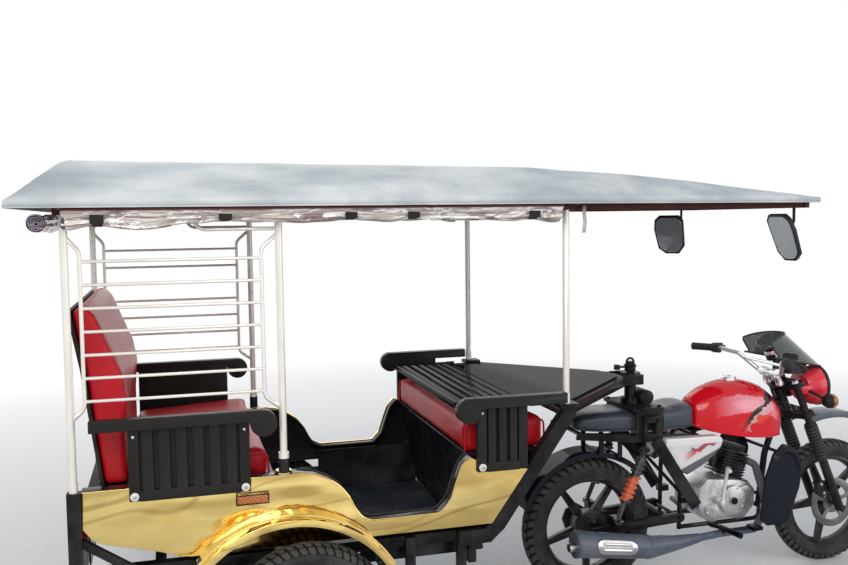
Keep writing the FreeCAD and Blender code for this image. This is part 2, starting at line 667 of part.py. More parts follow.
def folding_backrest():
    """Slatted backrest that lies flat and folds up at its forward edge."""
    knuckle = d.fold_hinge_dia / 2
    low = d.fold_hinge_z - 10
    top = low + 20
    front = d.fold_hinge_x - 4
    back = d.fold_back_x
    parts = []
    for _, side in SIDES:
        parts.append(box(back, front, side * (d.fold_half - 26), side * d.fold_half, low, top))
        parts.append(rod(Vector(d.fold_hinge_x, side * (d.fold_half - 26), d.fold_hinge_z),
                         Vector(d.fold_hinge_x, side * d.fold_half, d.fold_hinge_z), knuckle))
    parts.append(box(back, back + 24, -d.fold_half, d.fold_half, low, top))
    pitch = (front - back - 34) / d.fold_slats
    for n in range(int(d.fold_slats)):
        x = back + 24 + (n + 0.6) * pitch
        parts.append(box(x - d.slat_wide / 2, x + d.slat_wide / 2, -d.fold_half + 20, d.fold_half - 20,
                         top - 14, top - 14 + d.slat_thick))
    frame = fuse(parts)
    pin = rod(Vector(d.fold_hinge_x, -600, d.fold_hinge_z), Vector(d.fold_hinge_x, 600, d.fold_hinge_z),
              4 + d.pin_fit)
    return frame.cut(pin)


def top_tray():
    """Glossy tray on the nose frame, with the hinge lugs of the backrest."""
    half = d.bench_half - 6
    low = nose_top
    top = low + d.tray_thick
    plan = ((d.tray_back_x, -half), (-328, -half), (108, -84), (108, 84), (-328, half), (d.tray_back_x, half))
    parts = [plan_prism(plan, low, top)]
    for _, side in SIDES:
        inner = side * (d.fold_half + 1.5)
        outer = side * (d.fold_half + 14)
        parts.append(box(d.fold_hinge_x - 9, d.tray_back_x + 12, inner, outer, low, top + 16))
        parts.append(rod(Vector(d.fold_hinge_x, side * (d.fold_half - 26), d.fold_hinge_z),
                         Vector(d.fold_hinge_x, outer, d.fold_hinge_z), 4))
    return fuse(parts)


def canopy_solid(inset):
    """Hipped roof form, pulled in by an inset."""
    low = d.canopy_hem_z - (50 if inset else 0)
    hem = d.canopy_hem_z + d.canopy_hem
    half = d.canopy_half - inset
    nose = d.canopy_nose_half - inset
    back = d.canopy_back_x + inset
    tip = d.canopy_nose_x - inset
    top_half = d.canopy_top_half
    rows = {}
    for name, z in (("low", low), ("hem", hem - inset * 0.6)):
        rows[name] = [Vector(back, -half, z), Vector(d.canopy_shoulder_x, -half, z), Vector(tip, -nose, z),
                      Vector(tip, nose, z), Vector(d.canopy_shoulder_x, half, z), Vector(back, half, z)]
    crown = [Vector(d.canopy_top_back_x, -top_half, d.canopy_back_z - inset),
             Vector(d.canopy_top_front_x, -top_half, d.canopy_front_z - inset),
             Vector(d.canopy_top_front_x, top_half, d.canopy_front_z - inset),
             Vector(d.canopy_top_back_x, top_half, d.canopy_back_z - inset)]
    low_row = rows["low"]
    hem_row = rows["hem"]
    loops = [list(reversed(low_row)), crown]
    for n in range(6):
        m = (n + 1) % 6
        loops.append([low_row[n], low_row[m], hem_row[m], hem_row[n]])
    for a, b, c, e in ((0, 1, 1, 0), (4, 5, 3, 2)):
        loops.append([hem_row[a], hem_row[b], crown[c]])
        loops.append([hem_row[a], crown[c], crown[e]])
    loops.append([hem_row[1], hem_row[2], crown[1]])
    loops.append([hem_row[3], hem_row[4], crown[2]])
    loops.append([hem_row[2], hem_row[3], crown[2], crown[1]])
    loops.append([hem_row[5], hem_row[0], crown[0], crown[3]])
    faces = [Part.Face(Part.makePolygon(loop + [loop[0]])) for loop in loops]
    return Part.makeSolid(Part.makeShell(faces))


def canopy():
    """Fabric canopy, open below."""
    return canopy_solid(0).cut(canopy_solid(d.canopy_skin))


def arm_y(x):
    """Middle line of a front arm of the canopy frame, distance from the middle."""
    tip_x = d.canopy_nose_x - 20
    tip_y = d.canopy_nose_half - d.canopy_skin - d.gap_fit - 60 - d.roof_rail_wide / 2
    return d.post_half + (tip_y - d.post_half) * (x - d.canopy_shoulder_x) / (tip_x - d.canopy_shoulder_x)


def canopy_frame():
    """Rails, bows and front arms that carry the canopy."""
    low = d.roof_rail_z
    wide = d.roof_rail_wide
    top = low + wide
    back = d.post_rear_x - 20
    parts = []
    edge = d.canopy_half - d.canopy_skin - d.gap_fit
    nose = d.canopy_nose_half - d.canopy_skin - d.gap_fit
    for _, side in SIDES:
        y0 = side * (d.post_half - wide / 2)
        y1 = side * (d.post_half + wide / 2)
        parts.append(box(back, d.canopy_shoulder_x, y0, y1, low, top))
        arm = ((d.canopy_shoulder_x, y0), (d.canopy_shoulder_x, y1), (d.canopy_nose_x - 20, side * (nose - 60)),
               (d.canopy_nose_x - 20, side * (nose - 60 - wide)))
        parts.append(plan_prism(arm, low, top))
        for x in (d.post_rear_x + 10, d.post_mid_x, -900, d.post_front_x):
            parts.append(box(x - 8, x + 8, side * d.post_half, side * edge, top - 8, top))
    bow_x = (d.post_rear_x + 10, d.post_mid_x, -900, d.post_front_x)
    crown_y = d.canopy_top_half - 20
    for x in bow_x:
        share = (x - d.canopy_top_back_x) / (d.canopy_top_front_x - d.canopy_top_back_x)
        crown_z = d.canopy_back_z + (d.canopy_front_z - d.canopy_back_z) * share - d.canopy_skin - 14
        path = ((-d.post_half, top - 10), (-crown_y, crown_z), (crown_y, crown_z), (d.post_half, top - 10))
        loop = strip(path, 16, x - 8, x + 8)
        loop.rotate(Vector(0, x, 0), UP, 90)
        loop.translate(Vector(x, -x, 0))
        parts.append(loop)
    for x in (back, d.canopy_shoulder_x):
        parts.append(box(x, x + wide, -d.post_half, d.post_half, low, top))
    parts.append(box(d.canopy_nose_x - 34, d.canopy_nose_x - 10, -nose + 50, nose - 50, low, top))
    return fuse(parts)


def curtain_rolls():
    """Rolled curtains under the canopy edge, with their straps."""
    parts = []
    strap = 30
    for _, side in SIDES:
        y = side * roll_y
        roll = rod(Vector(d.roll_back_x, y, d.roll_z), Vector(d.roll_front_x, y, d.roll_z), roll_r)
        hung = [roll]
        for x in (-2070, -1760, -1260, -1000, -460):
            hung.append(box(x - strap / 2, x + strap / 2, side * (roll_y - 3), side * (roll_y + 3),
                            d.roll_z + roll_r - 4, d.roof_rail_z + d.roof_rail_wide - 9))
        parts.append(fuse(hung))
    end = d.post_half - 30
    rear = [rod(Vector(d.rear_roll_x, -end, d.roll_z), Vector(d.rear_roll_x, end, d.roll_z), roll_r)]
    for y in (-420, 0, 420):
        rear.append(box(d.rear_roll_x - 3, d.post_rear_x - 20 - d.gap_fit, y - strap / 2, y + strap / 2,
                        d.roof_rail_z + 4, d.roof_rail_z + 8))
    parts.append(fuse(rear))
    return Part.makeCompound(parts)


def canopy_mirrors():
    """Mirrors that hang on short stems from the front of the canopy frame."""
    parts = []
    half = d.mirror_wide / 2
    tall = d.mirror_tall / 2
    thick = d.mirror_thick / 2
    for _, side in SIDES:
        # Plan columns: share of the half width, share of the half height.
        outline = ((-0.55, -1), (0.35, -1), (0.82, -0.72), (1, 0.3), (0.9, 0.8), (0.6, 1), (-0.72, 1), (-1, 0.75),
                   (-0.95, -0.6))
        loop = [Vector(-thick, side * u * half, v * tall) for u, v in outline]
        plate = Part.Face(Part.makePolygon(loop + [loop[0]])).extrude(Vector(d.mirror_thick, 0, 0))
        plate = fuse((plate, rod(Vector(0, 0, 30), Vector(thick + 26, 0, 30), 13)))
        at = Vector(d.mirror_x, side * d.mirror_y, d.mirror_z)
        plate.rotate(Vector(0, 0, 0), LEFT, -d.mirror_lean)
        plate.rotate(Vector(0, 0, 0), UP, d.mirror_turn * (1 + side) / 2)
        plate.translate(at)
        turn = math.radians(d.mirror_turn * (1 + side) / 2)
        lean = math.radians(d.mirror_lean)
        reach = (thick + 20) * math.cos(lean) - 30 * math.sin(lean)
        lift = 30 * math.cos(lean) + (thick + 20) * math.sin(lean)
        knee = at + Vector(reach * math.cos(turn), reach * math.sin(turn), lift)
        hook = Vector(d.mirror_hook_x, side * arm_y(d.mirror_hook_x), d.roof_rail_z)
        stem = tube([knee, Vector(hook.x, hook.y, knee.z + 24), hook], 6, 14)
        parts.append(fuse((plate, stem)))
    return Part.makeCompound(parts)


def lamps():
    """Amber side markers and red tail lamps."""
    parts = []
    for _, side in SIDES:
        parts.append(box(-1584, -1481, side * d.body_half, side * (d.body_half + 22), 742, 768))
        y = side * (d.post_half - d.corner_wide / 2 - 80)
        parts.append(box(d.seat_box_back_x - 24, d.seat_box_back_x, y - 40, y + 40, 640, 700))
    return Part.makeCompound(parts)


def axle():
    """Axle tube with its spindles, U clamps and both leaf springs."""
    z = d.cart_tyre_radius
    hub_in = d.wheel_y - 52
    parts = [rod(Vector(d.axle_x, -hub_in + 8, z), Vector(d.axle_x, hub_in - 8, z), d.axle_dia / 2)]
    spindle_end = d.wheel_y + 50
    parts.append(rod(Vector(d.axle_x, -spindle_end, z), Vector(d.axle_x, spindle_end, z), d.spindle_dia / 2))
    pack = d.leaf_thick * d.leaf_count
    seat_z = z + d.axle_dia / 2 - 3
    half = d.spring_wide / 2
    for _, side in SIDES:
        y0 = side * (d.rail_y - half)
        y1 = side * (d.rail_y + half)
        for n in range(int(d.leaf_count)):
            reach = d.spring_half * (0.45 + 0.55 * n / (d.leaf_count - 1))
            low = seat_z + n * d.leaf_thick
            rise = 46 * (reach / d.spring_half) ** 2
            path = ((d.axle_x - reach, low + rise), (d.axle_x - reach / 2, low + rise * 0.28), (d.axle_x - 60, low + 4),
                    (d.axle_x + 60, low + 4), (d.axle_x + reach / 2, low + rise * 0.28), (d.axle_x + reach, low + rise))
            parts.append(strip(path, d.leaf_thick, y0, y1))
        parts.append(box(d.axle_x - 42, d.axle_x + 42, y0, y1, seat_z - 4, seat_z + pack + 6))
        for end in (-1, 1):
            eye_x = d.axle_x + end * d.spring_half
            eye_z = seat_z + pack + 46 - d.leaf_thick
            eye = rod(Vector(eye_x, y0, eye_z), Vector(eye_x, y1, eye_z), 15)
            hanger = box(eye_x - 13, eye_x + 13, y0, y1, eye_z, d.rail_z)
            parts.extend((eye, hanger))
    return fuse(parts)


def tyre(label, x, y, z, radius, half, rim):
    """Tyre turned from half a dozen profile points."""
    body = doc.addObject("PartDesign::Body", label)
    body.Label = label
    body.Placement = Placement(Vector(shift + x, y, z), Rotation())
    pieces.append(body)
    shoulder = radius - 24
    points = ((rim, half - 12), (rim + 16, half - 4), (rim + 40, half), (shoulder, half - 6), (radius - 8, half - 20),
              (radius, half - 36 if half > 44 else half - 34), (radius, -half + 36 if half > 44 else -half + 34),
              (radius - 8, -half + 20), (shoulder, -half + 6), (rim + 40, -half), (rim + 16, -half + 4), (rim, -half + 12))
    sketch = profile_sketch(body, label.title().replace("_", "") + "Section", "XY_Plane", points)
    ring = body.newObject("PartDesign::Revolution", label.title().replace("_", "") + "Ring")
    ring.Profile = sketch
    ring.ReferenceAxis = (sketch, ["V_Axis"])
    ring.Angle = 360
    return body


def rim_ring(centre, rim, half, wall):
    """Rim with a well between two flanges, in a radius, y outline."""
    y = centre.y
    return turned(((rim - wall - 10, y - half * 0.45), (rim - wall, y - half), (rim - 0.4, y - half),
                   (rim - 0.4, y + half), (rim - wall, y + half), (rim - wall - 10, y + half * 0.45)), centre)


def cart_wheel(side):
    """Laced wheel: rim, hub and crossed spokes."""
    centre = Vector(d.axle_x, side * d.wheel_y, d.cart_tyre_radius)
    rim = d.cart_rim_radius
    hub_half = 44
    hub_r = 24
    flange_r = 42
    y = centre.y
    parts = [rim_ring(centre, rim, d.cart_rim_half, 8)]
    hub = turned(((0, y - hub_half), (hub_r, y - hub_half), (hub_r, y - 32), (flange_r, y - 32), (flange_r, y - 26),
                  (hub_r, y - 26), (hub_r, y + 26), (flange_r, y + 26), (flange_r, y + 32), (hub_r, y + 32),
                  (hub_r, y + hub_half), (0, y + hub_half)), centre)
    parts.append(hub)
    step = 360 / d.cart_spokes
    for n in range(int(d.cart_spokes)):
        for flange, turn, lag in ((-1, 24, 0.0), (1, -24, 0.5)):
            angle = math.radians((n + lag) * step)
            foot = math.radians((n + lag) * step + turn)
            start = centre + Vector((flange_r - 4) * math.cos(foot), flange * 29, (flange_r - 4) * math.sin(foot))
            end = centre + Vector((rim - 14) * math.cos(angle), flange * 5, (rim - 14) * math.sin(angle))
            parts.append(rod(start, end, d.spoke_dia / 2))
    bore = rod(centre - LEFT * 80, centre + LEFT * 80, d.spindle_dia / 2 + d.pin_fit)
    return fuse(parts).cut(bore)


def cast_wheel(centre, rim_half, hub_half, drum, spoke_twist):
    """Cast wheel: rim, five tapered spokes and a hub."""
    rim = d.moto_rim_radius
    parts = [rim_ring(centre, rim, rim_half, d.rim_wall)]
    parts.append(rod(centre - LEFT * hub_half, centre + LEFT * hub_half, 36))
    if drum:
        parts.append(rod(centre - LEFT * (hub_half - 4), centre - LEFT * 12, drum))
        parts.append(rod(centre + LEFT * 20, centre + LEFT * 34, drum * 0.8))
    wide_root, wide_tip = 22, 13
    for n in range(int(d.cast_spokes)):
        blade = side_prism(((30, -wide_root), (rim - d.rim_wall - 4, -wide_tip), (rim - d.rim_wall - 4, wide_tip),
                            (30, wide_root)), -10, 10)
        blade.rotate(Vector(0, 0, 0), LEFT, spoke_twist + n * 360 / d.cast_spokes)
        blade.translate(centre)
        parts.append(blade)
    bore = rod(centre - LEFT * 120, centre + LEFT * 120, d.moto_axle_dia / 2 + d.pin_fit)
    return fuse(parts).cut(bore)


def swivel_head():
    """Ring on the kingpin with a cross pin each side for the nose cheeks."""
    at = Vector(d.kingpin_x, 0, head_mid)
    ring = rod(at - UP * (d.head_tall / 2), at + UP * (d.head_tall / 2), d.head_radius)
    reach = d.head_radius + 10 + d.cheek_thick
    pins = rod(at - LEFT * reach, at + LEFT * reach, d.trunnion_dia / 2)
    bore = rod(at - UP * 60, at + UP * 60, d.kingpin_dia / 2 + d.pin_fit)
    return fuse((ring, pins)).cut(bore)


shock_top = Vector(214, 0, 672)
shock_low = Vector(77, 0, 366)
brace_foot = Vector(452, 0, 410)


def hitch():
    """Saddle bracket over the seat, with kingpin, collar, loop and braces."""
    x = d.kingpin_x
    pin_r = d.kingpin_dia / 2
    plate_low = 838 + d.gap_fit
    plate_top = 852
    reach = 142
    parts = [box(x - 60, x + 90, -reach, reach, plate_low, plate_top)]
    head_top = head_mid + d.head_tall / 2
    parts.append(rod(Vector(x, 0, plate_top), Vector(x, 0, plate_top + 26), 44))
    parts.append(rod(Vector(x, 0, plate_top + 26), Vector(x, 0, head_mid - d.head_tall / 2 - 6), 26))
    parts.append(rod(Vector(x, 0, plate_top), Vector(x, 0, head_top + 30), pin_r))
    parts.append(rod(Vector(x, 0, head_top + 6), Vector(x, 0, head_top + 22), 25))
    loop = Part.makeTorus(18, 5, Vector(x, 0, head_top + 46), LEFT)
    parts.append(loop)
    bush = Vector(x + 52, 0, plate_top + d.bush_dia / 2 - 2)
    parts.append(rod(bush - LEFT * 62, bush + LEFT * 62, d.bush_dia / 2))
    latch = Vector(x, 0, head_top + 26)
    parts.append(rod(latch, latch - Vector(66, 0, 0), 5))
    parts.append(box(x - 76, x - 56, -11, 11, latch.z - 11, latch.z + 11))
    for _, side in SIDES:
        window = box(x - 8, x + 37, side * 120, side * 190, 744, 792)
        cheek = box(x - 45, x + 85, side * 132, side * reach, 702, plate_top)
        ear = box(x - 20, x + 60, side * reach, side * 170, 708, 822)
        parts.append(fuse((cheek, ear)).cut(window))
        parts.append(box(shock_top.x - 10, shock_top.x + 10, side * 132, side * 140, shock_top.z + 9 + d.gap_fit, 706))
        brace = strip(((x + 30, 716), (brace_foot.x + 4, brace_foot.z - 10)), d.brace_wide, side * 170, side * 180)
        parts.append(brace)
        parts.append(strip(((-110, 752), (x - 40, 717)), d.seat_bar_wide, side * 132, side * reach))
        parts.append(rod(brace_foot + LEFT * side * 112, brace_foot + LEFT * side * 180, 13))
    return fuse(parts)


def down_tube():
    """Frame tube from the steering head down ahead of the engine."""
    wall = (d.head_tube_dia + d.stem_dia) / 4
    top = on_steer(d.head_low_z + 26, -wall - 2)
    return tube([top, Vector(938, 0, 560), Vector(905, 0, 300)], d.frame_dia / 2, 160)


def moto_frame():
    """Steering head, backbone, down tube, cradle, seat rails and stays."""
    main = d.frame_dia / 2
    light = d.stay_dia / 2
    low = on_steer(d.head_low_z)
    high = on_steer(d.head_high_z)
    head = rod(low, high, d.head_tube_dia / 2)
    wall = (d.head_tube_dia + d.stem_dia) / 4
    back = on_steer(d.head_low_z + 66, -wall - 3)
    parts = [tube([back, Vector(760, 0, 735), Vector(520, 0, 700)], main, 200)]
    parts.append(down_tube())
    for _, side in SIDES:
        rail = side * d.seat_rail_half
        parts.append(tube([Vector(560, side * 8, 706), Vector(470, rail, 702), Vector(-80, rail, 748)], light, 60))
        parts.append(tube([Vector(505, side * 84, 700), Vector(430, side * 84, 560), Vector(424, side * 84, 270)],
                          light, 80))
        cradle = side * d.cradle_half
        parts.append(tube([Vector(905, side * 10, 312), Vector(840, cradle, cradle_z), Vector(424, cradle, cradle_z)],
                          light, 70))
        parts.append(rod(Vector(428, side * 88, 440), Vector(150, side * 100, 732), light * 0.8))
        parts.append(rod(shock_top + LEFT * side * 98, shock_top + LEFT * side * (d.shock_y + 22), 9))
        parts.append(box(202, 226, side * 96, side * 108, 660, 724))
        parts.append(box(420, 470, side * 80, side * 112, brace_foot.z - 14, brace_foot.z + 14))
    parts.append(rod(Vector(505, -110, 700), Vector(505, 110, 700), light))
    parts.append(rod(Vector(-70, -110, 747), Vector(-70, 110, 747), light))
    parts.append(rod(Vector(d.swing_pivot_x, -130, d.swing_pivot_z), Vector(d.swing_pivot_x, 130, d.swing_pivot_z), 8))
    parts.append(head)
    parts.append(stand_bracket())
    bore = rod(low - steer_up * 20, high + steer_up * 20, d.stem_dia / 2 + d.pin_fit)
    return fuse(parts, [bore])


cradle_z = 281
engine_lean = 16
kick_out = 30
port_at = Vector(808, -28, 545)
port_run = Vector(44, -22, -23).normalize()


def engine():
    """Crankcase with round covers, and a finned cylinder with its head."""
    half = d.engine_half
    case = side_prism(((518, 352), (556, 300), (758, 300), (806, 350), (806, 425), (768, 470), (562, 492), (518, 452)),
                      -half, half)
    parts = [case]
    # Round covers: x, z, radius, side, outer face beyond the case, boss radius.
    covers = ((676, 392, 66, -1, 30, 20), (744, 404, 48, -1, 20, 0), (588, 352, 44, -1, 12, 16),
              (d.kick_x, d.kick_z, 18, -1, kick_out, 0), (668, 396, 78, 1, 28, 24), (572, 392, 44, 1, 18, 14))
    for cover_x, cover_z, radius, side, out, boss in covers:
        face = Vector(cover_x, side * half, cover_z)
        parts.append(rod(face, face + LEFT * side * out, radius))
        if boss:
            parts.append(rod(face, face + LEFT * side * (out + 8), boss))
    lean = math.radians(engine_lean)
    axis = Vector(math.sin(lean), 0, math.cos(lean))
    foot = Vector(706, 0, 455)
    barrel = rod(foot, foot + axis * 150, 46)
    parts.append(barrel)
    throat = foot + axis * 128
    parts.append(rod(throat, throat - Vector(118, 0, 8), 20))
    parts.append(rod(throat - Vector(84, 0, 58), throat - Vector(84, 0, 0), 22))
    for n in range(9):
        at = foot + axis * (26 + n * 14)
        fin = Part.makeBox(128, 132, 5, Vector(-64, -66, 0))
        fin.rotate(Vector(0, 0, 0), LEFT, engine_lean)
        fin.translate(at)
        parts.append(fin)
    cap = Part.makeBox(96, 92, 26, Vector(-48, -46, 0))
    cap.rotate(Vector(0, 0, 0), LEFT, engine_lean)
    cap.translate(foot + axis * 150)
    parts.append(cap)
    parts.append(rod(port_at - port_run * 50, port_at, 22))
    lug_low = cradle_z + d.stay_dia / 2 + d.gap_fit
    for x in (590, 735):
        for _, side in SIDES:
            parts.append(box(x - 20, x + 20, side * (d.cradle_half - 10), side * (d.cradle_half + 10), lug_low, 304))
    return fuse(parts)


def arch_section(x, half, low, shoulder, top):
    """Tank or seat section: flat base, upright sides and an arched top."""
    a = Vector(x, -half, low)
    b = Vector(x, half, low)
    c = Vector(x, half, shoulder)
    e = Vector(x, -half, shoulder)
    crown = Vector(x, 0, top)
    return Part.Wire([Part.makeLine(a, b), Part.makeLine(b, c), Part.Arc(c, crown, e).toShape(), Part.makeLine(e, a)])


def fuel_tank():
    """Tank lofted through arched sections, with a tunnel for the frame."""
    # Columns: x, half width, base, shoulder, crown.
    sections = ((d.tank_rear_x, 70, 724, 790, 858), (600, 108, 700, 800, 906), (730, 136, 676, 800, 931),
                (860, 138, 664, 790, 906), (952, 112, 664, 760, 842))
    solid = Part.makeLoft([arch_section(*row) for row in sections], True, True)
    tunnel = side_prism(((480, 600), (480, 734), (760, 770), (1060, 885), (1060, 600)), -d.frame_dia, d.frame_dia)
    cap = rod(Vector(735, 0, 915), Vector(735, 0, 938), 32)
    mouth = rod(on_steer(700), on_steer(1000), 74)
    return fuse((solid, cap)).cut(tunnel).cut(mouth)


def rider_seat():
    """Long seat with a dip for the rider."""
    front = d.tank_rear_x - 3
    points = ((front - 16, 735), (front, 760), (front, 816), (front - 10, 838), (front - 32, 849), (440, 847), (380, 838),
              (5, 838), (-70, 832), (-108, 812), (-108, 770), (-80, 762), (226, 738))
    body = design("rider_seat")
    sketch = profile_sketch(body, "RiderSeatSide", "XZ_Plane", points)
    pad(body, "RiderSeatPad", sketch, "2 * Sizes.seat_wide", both=True)


def side_covers():
    """Side covers under the seat."""
    points = ((310, 712), (570, 707), (592, 700), (600, 684), (590, 656), (552, 616), (494, 578), (418, 541), (362, 575),
              (310, 668))
    return Part.makeCompound(both_sides(side_prism(points, d.seat_rail_half + d.stay_dia / 2 + d.gap_fit, 164)))


def exhaust():
    """Header pipe from the cylinder and a tapered silencer."""
    y = d.muffler_y
    pipe = tube([port_at, port_at + port_run * 52, Vector(874, -112, 330), Vector(790, -132, 245),
                 Vector(610, -134, 245), Vector(450, y, 262)], 17, 26)
    stations = ((-150, 302, 56), (-140, 300, 58), (205, 250, 51), (330, 252, 34), (455, 262, 20))
    rings = [Part.Wire(Part.makeCircle(r, Vector(x, y, z), Vector(1, 0, 0))) for x, z, r in stations]
    can = Part.makeLoft(rings, True, True)
    return fuse((pipe, can))


def swingarm():
    """Swingarm with its arms, pivot tube, axle and shock lugs."""
    px, pz = d.swing_pivot_x, d.swing_pivot_z
    axle_z = d.rear_radius
    parts = []
    for _, side in SIDES:
        y0 = side * (d.swing_half - 13)
        y1 = side * (d.swing_half + 13)
        parts.append(strip(((-34, axle_z), (px, pz)), 38, y0, y1))
        parts.append(rod(Vector(px, y0, pz), Vector(px, y1, pz), 21))
        parts.append(box(60, 96, y0, side * (d.shock_y - 12), axle_z + 14, axle_z + 66))
        parts.append(rod(shock_low + LEFT * y1, shock_low + LEFT * side * (d.shock_y + 18), 7))
    parts.append(box(320, 360, -d.swing_half - 13, d.swing_half + 13, pz - 22, pz + 14))
    parts.append(rod(Vector(0, -d.swing_half - 24, axle_z), Vector(0, d.swing_half + 24, axle_z), d.moto_axle_dia / 2))
    return fuse(parts).cut(rod(Vector(px, -200, pz), Vector(px, 200, pz), 8))


def rear_shocks():
    """Two spring and damper units."""
    parts = []
    for _, side in SIDES:
        y = side * d.shock_y
        low = shock_low + LEFT * y
        high = shock_top + LEFT * y
        run = (high - low).normalize()
        outline = [(0, 0), (0, 11), (90, 11), (90, 19)]
        for n in range(9):
            coil = 92 + n * 22
            outline.extend(((coil, 19), (coil, 27), (coil + 11, 27), (coil + 11, 19)))
        reach = (high - low).Length
        outline.extend(((reach - 40, 19), (reach - 40, 11), (reach, 11), (reach, 0)))
        eyes = [rod(eye - LEFT * 11, eye + LEFT * 11, 16) for eye in (low, high)]
        solid = fuse([spun(low, high, outline)] + eyes)
        solid = solid.cut(rod(low - LEFT * 60, low + LEFT * 60, 7))
        solid = solid.cut(rod(high - LEFT * 60, high + LEFT * 60, 9))
        parts.append(solid)
    return Part.makeCompound(parts)


def rear_mudguard():
    """Guard over the rear tyre with its stays to the seat rails."""
    r = d.rear_radius + 34
    profile = ((r, -66), (r + 3, -66), (r + 3, 66), (r, 66))
    guard = arch(profile, 0, d.rear_radius, 52, 108)
    side_profile = ((r - 22, 63), (r + 3, 63), (r + 3, 66), (r - 22, 66))
    skirt = arch(side_profile, 0, d.rear_radius, 52, 108)
    parts = [guard] + both_sides(skirt)
    stay_out = d.seat_rail_half - d.stay_dia / 2 - d.gap_fit
    for x in (20, 110):
        crown = d.rear_radius + math.sqrt(r * r - (x + 11) ** 2)
        parts.append(box(x, x + 22, -stay_out, stay_out, crown - 2, crown + 6))
        parts.extend(both_sides(box(x, x + 22, stay_out - 4, stay_out, crown - 2, 744)))
    return fuse(parts)


def chain_case():
    """Closed chain cover on the left."""
    body = design("chain_case")
    points = ((-78, 312), (-60, 262), (-10, 234), (40, 246), (300, 286), (300, 306), (40, 352), (-10, 384), (-60, 358))
    sketch = profile_sketch(body, "ChainCaseSide", "XZ_Plane", points, d.gap_fit + 13 - d.swing_half)
    pad(body, "ChainCasePad", sketch, "18")
    hole = body.newObject("Sketcher::SketchObject", "ChainCaseAxle")
    hole.AttachmentSupport = [(origin_plane(body, "XZ_Plane"), "")]
    hole.MapMode = "FlatFace"
    hole.addGeometry(Part.Circle(Vector(0, d.rear_radius, 0), UP, 20), False)
    cut = body.newObject("PartDesign::Pocket", "ChainCaseBore")
    cut.Profile = hole
    cut.Type = "ThroughAll"
    cut.Midplane = True


def leg_guards():
    """Guard plates beside the engine, each with a hoop tube, on two cross tubes."""
    points = ((772, 312), (794, 500), (836, 612), (888, 656), (956, 624), (992, 540), (976, 446), (914, 284), (806, 280))
    hoop = ((796, 330), (816, 500), (850, 594), (890, 632), (944, 606), (972, 538), (956, 452), (914, 340))
    inner = d.guard_y
    outer = inner + d.guard_thick
    parts = both_sides(side_prism(points, inner, outer))
    for _, side in SIDES:
        path = [Vector(x, side * (outer + 6), z) for x, z in hoop]
        parts.append(tube(path, d.hoop_dia / 2, 26))
    parts.append(rod(Vector(938, -inner - 2, 588), Vector(938, inner + 2, 588), 9))
    parts.append(rod(Vector(908, -inner - 2, 360), Vector(908, inner + 2, 360), 9))
    return fuse(parts, [down_tube()])


def foot_controls():
    """Foot pegs, brake pedal, gear pedal and kick lever."""
    half = d.engine_half
    parts = []
    for _, side in SIDES:
        inner = d.cradle_half + d.stay_dia / 2 + d.gap_fit
        foot = rod(Vector(575, side * inner, cradle_z), Vector(575, side * 120, cradle_z), 10)
        hanger = rod(Vector(575, side * 118, cradle_z), Vector(592, side * 160, 283), 10)
        peg = rod(Vector(592, side * 160, 283), Vector(612, side * 285, 283), 13)
        parts.append(fuse((foot, hanger, peg)))
    brake = fuse((rod(Vector(600, -176, 266), Vector(740, -166, 272), 7), box(735, 785, -205, -150, 264, 280),
                  rod(Vector(600, -176, 262), Vector(600, -176, 283), 9)))
    gear = fuse((rod(Vector(600, 176, 266), Vector(745, 168, 300), 6), rod(Vector(745, 150, 300), Vector(745, 200, 300), 9),
                 rod(Vector(600, 176, 262), Vector(600, 176, 283), 9)))
    pivot = Vector(d.kick_x, -half, d.kick_z)
    pad = pivot + Vector(28, -kick_out - 30, 162)
    kick = fuse((rod(pivot - LEFT * (kick_out + 30), pad, 8),
                 rod(pivot - LEFT * kick_out, pivot - LEFT * (kick_out + 38), 12),
                 rod(pad - Vector(0, 6, 4), pad - Vector(24, 50, 4), 9)))
    return Part.makeCompound([fuse((parts[0], brake)), fuse((parts[1], gear)), kick])


def side_stand():
    """Side stand, folded back along the left of the frame."""
    y = d.stand_y
    pivot = Vector(470, y, 258)
    leg = tube([pivot, Vector(330, y + 8, 252), Vector(214, y + 26, 246)], 9, 60)
    foot = box(196, 226, y + 10, y + 46, 236, 244)
    knuckle = rod(pivot - LEFT * 11, pivot + LEFT * 11, 16)
    return fuse((leg, foot, knuckle)).cut(rod(pivot - LEFT * 50, pivot + LEFT * 50, 6 + d.pin_fit))


def stand_bracket():
    """Bracket of the side stand with its pivot pin."""
    y = d.stand_y
    pivot = Vector(470, y, 258)
    plate = box(452, 488, 96, y - 12, 250, 281)
    return fuse((plate, rod(pivot - LEFT * 30, pivot + LEFT * 14, 6)))


clamp_thick = 24
clamp_low = d.head_low_z - 33
clamp_top = d.head_high_z + 6 + clamp_thick * steer_up.z


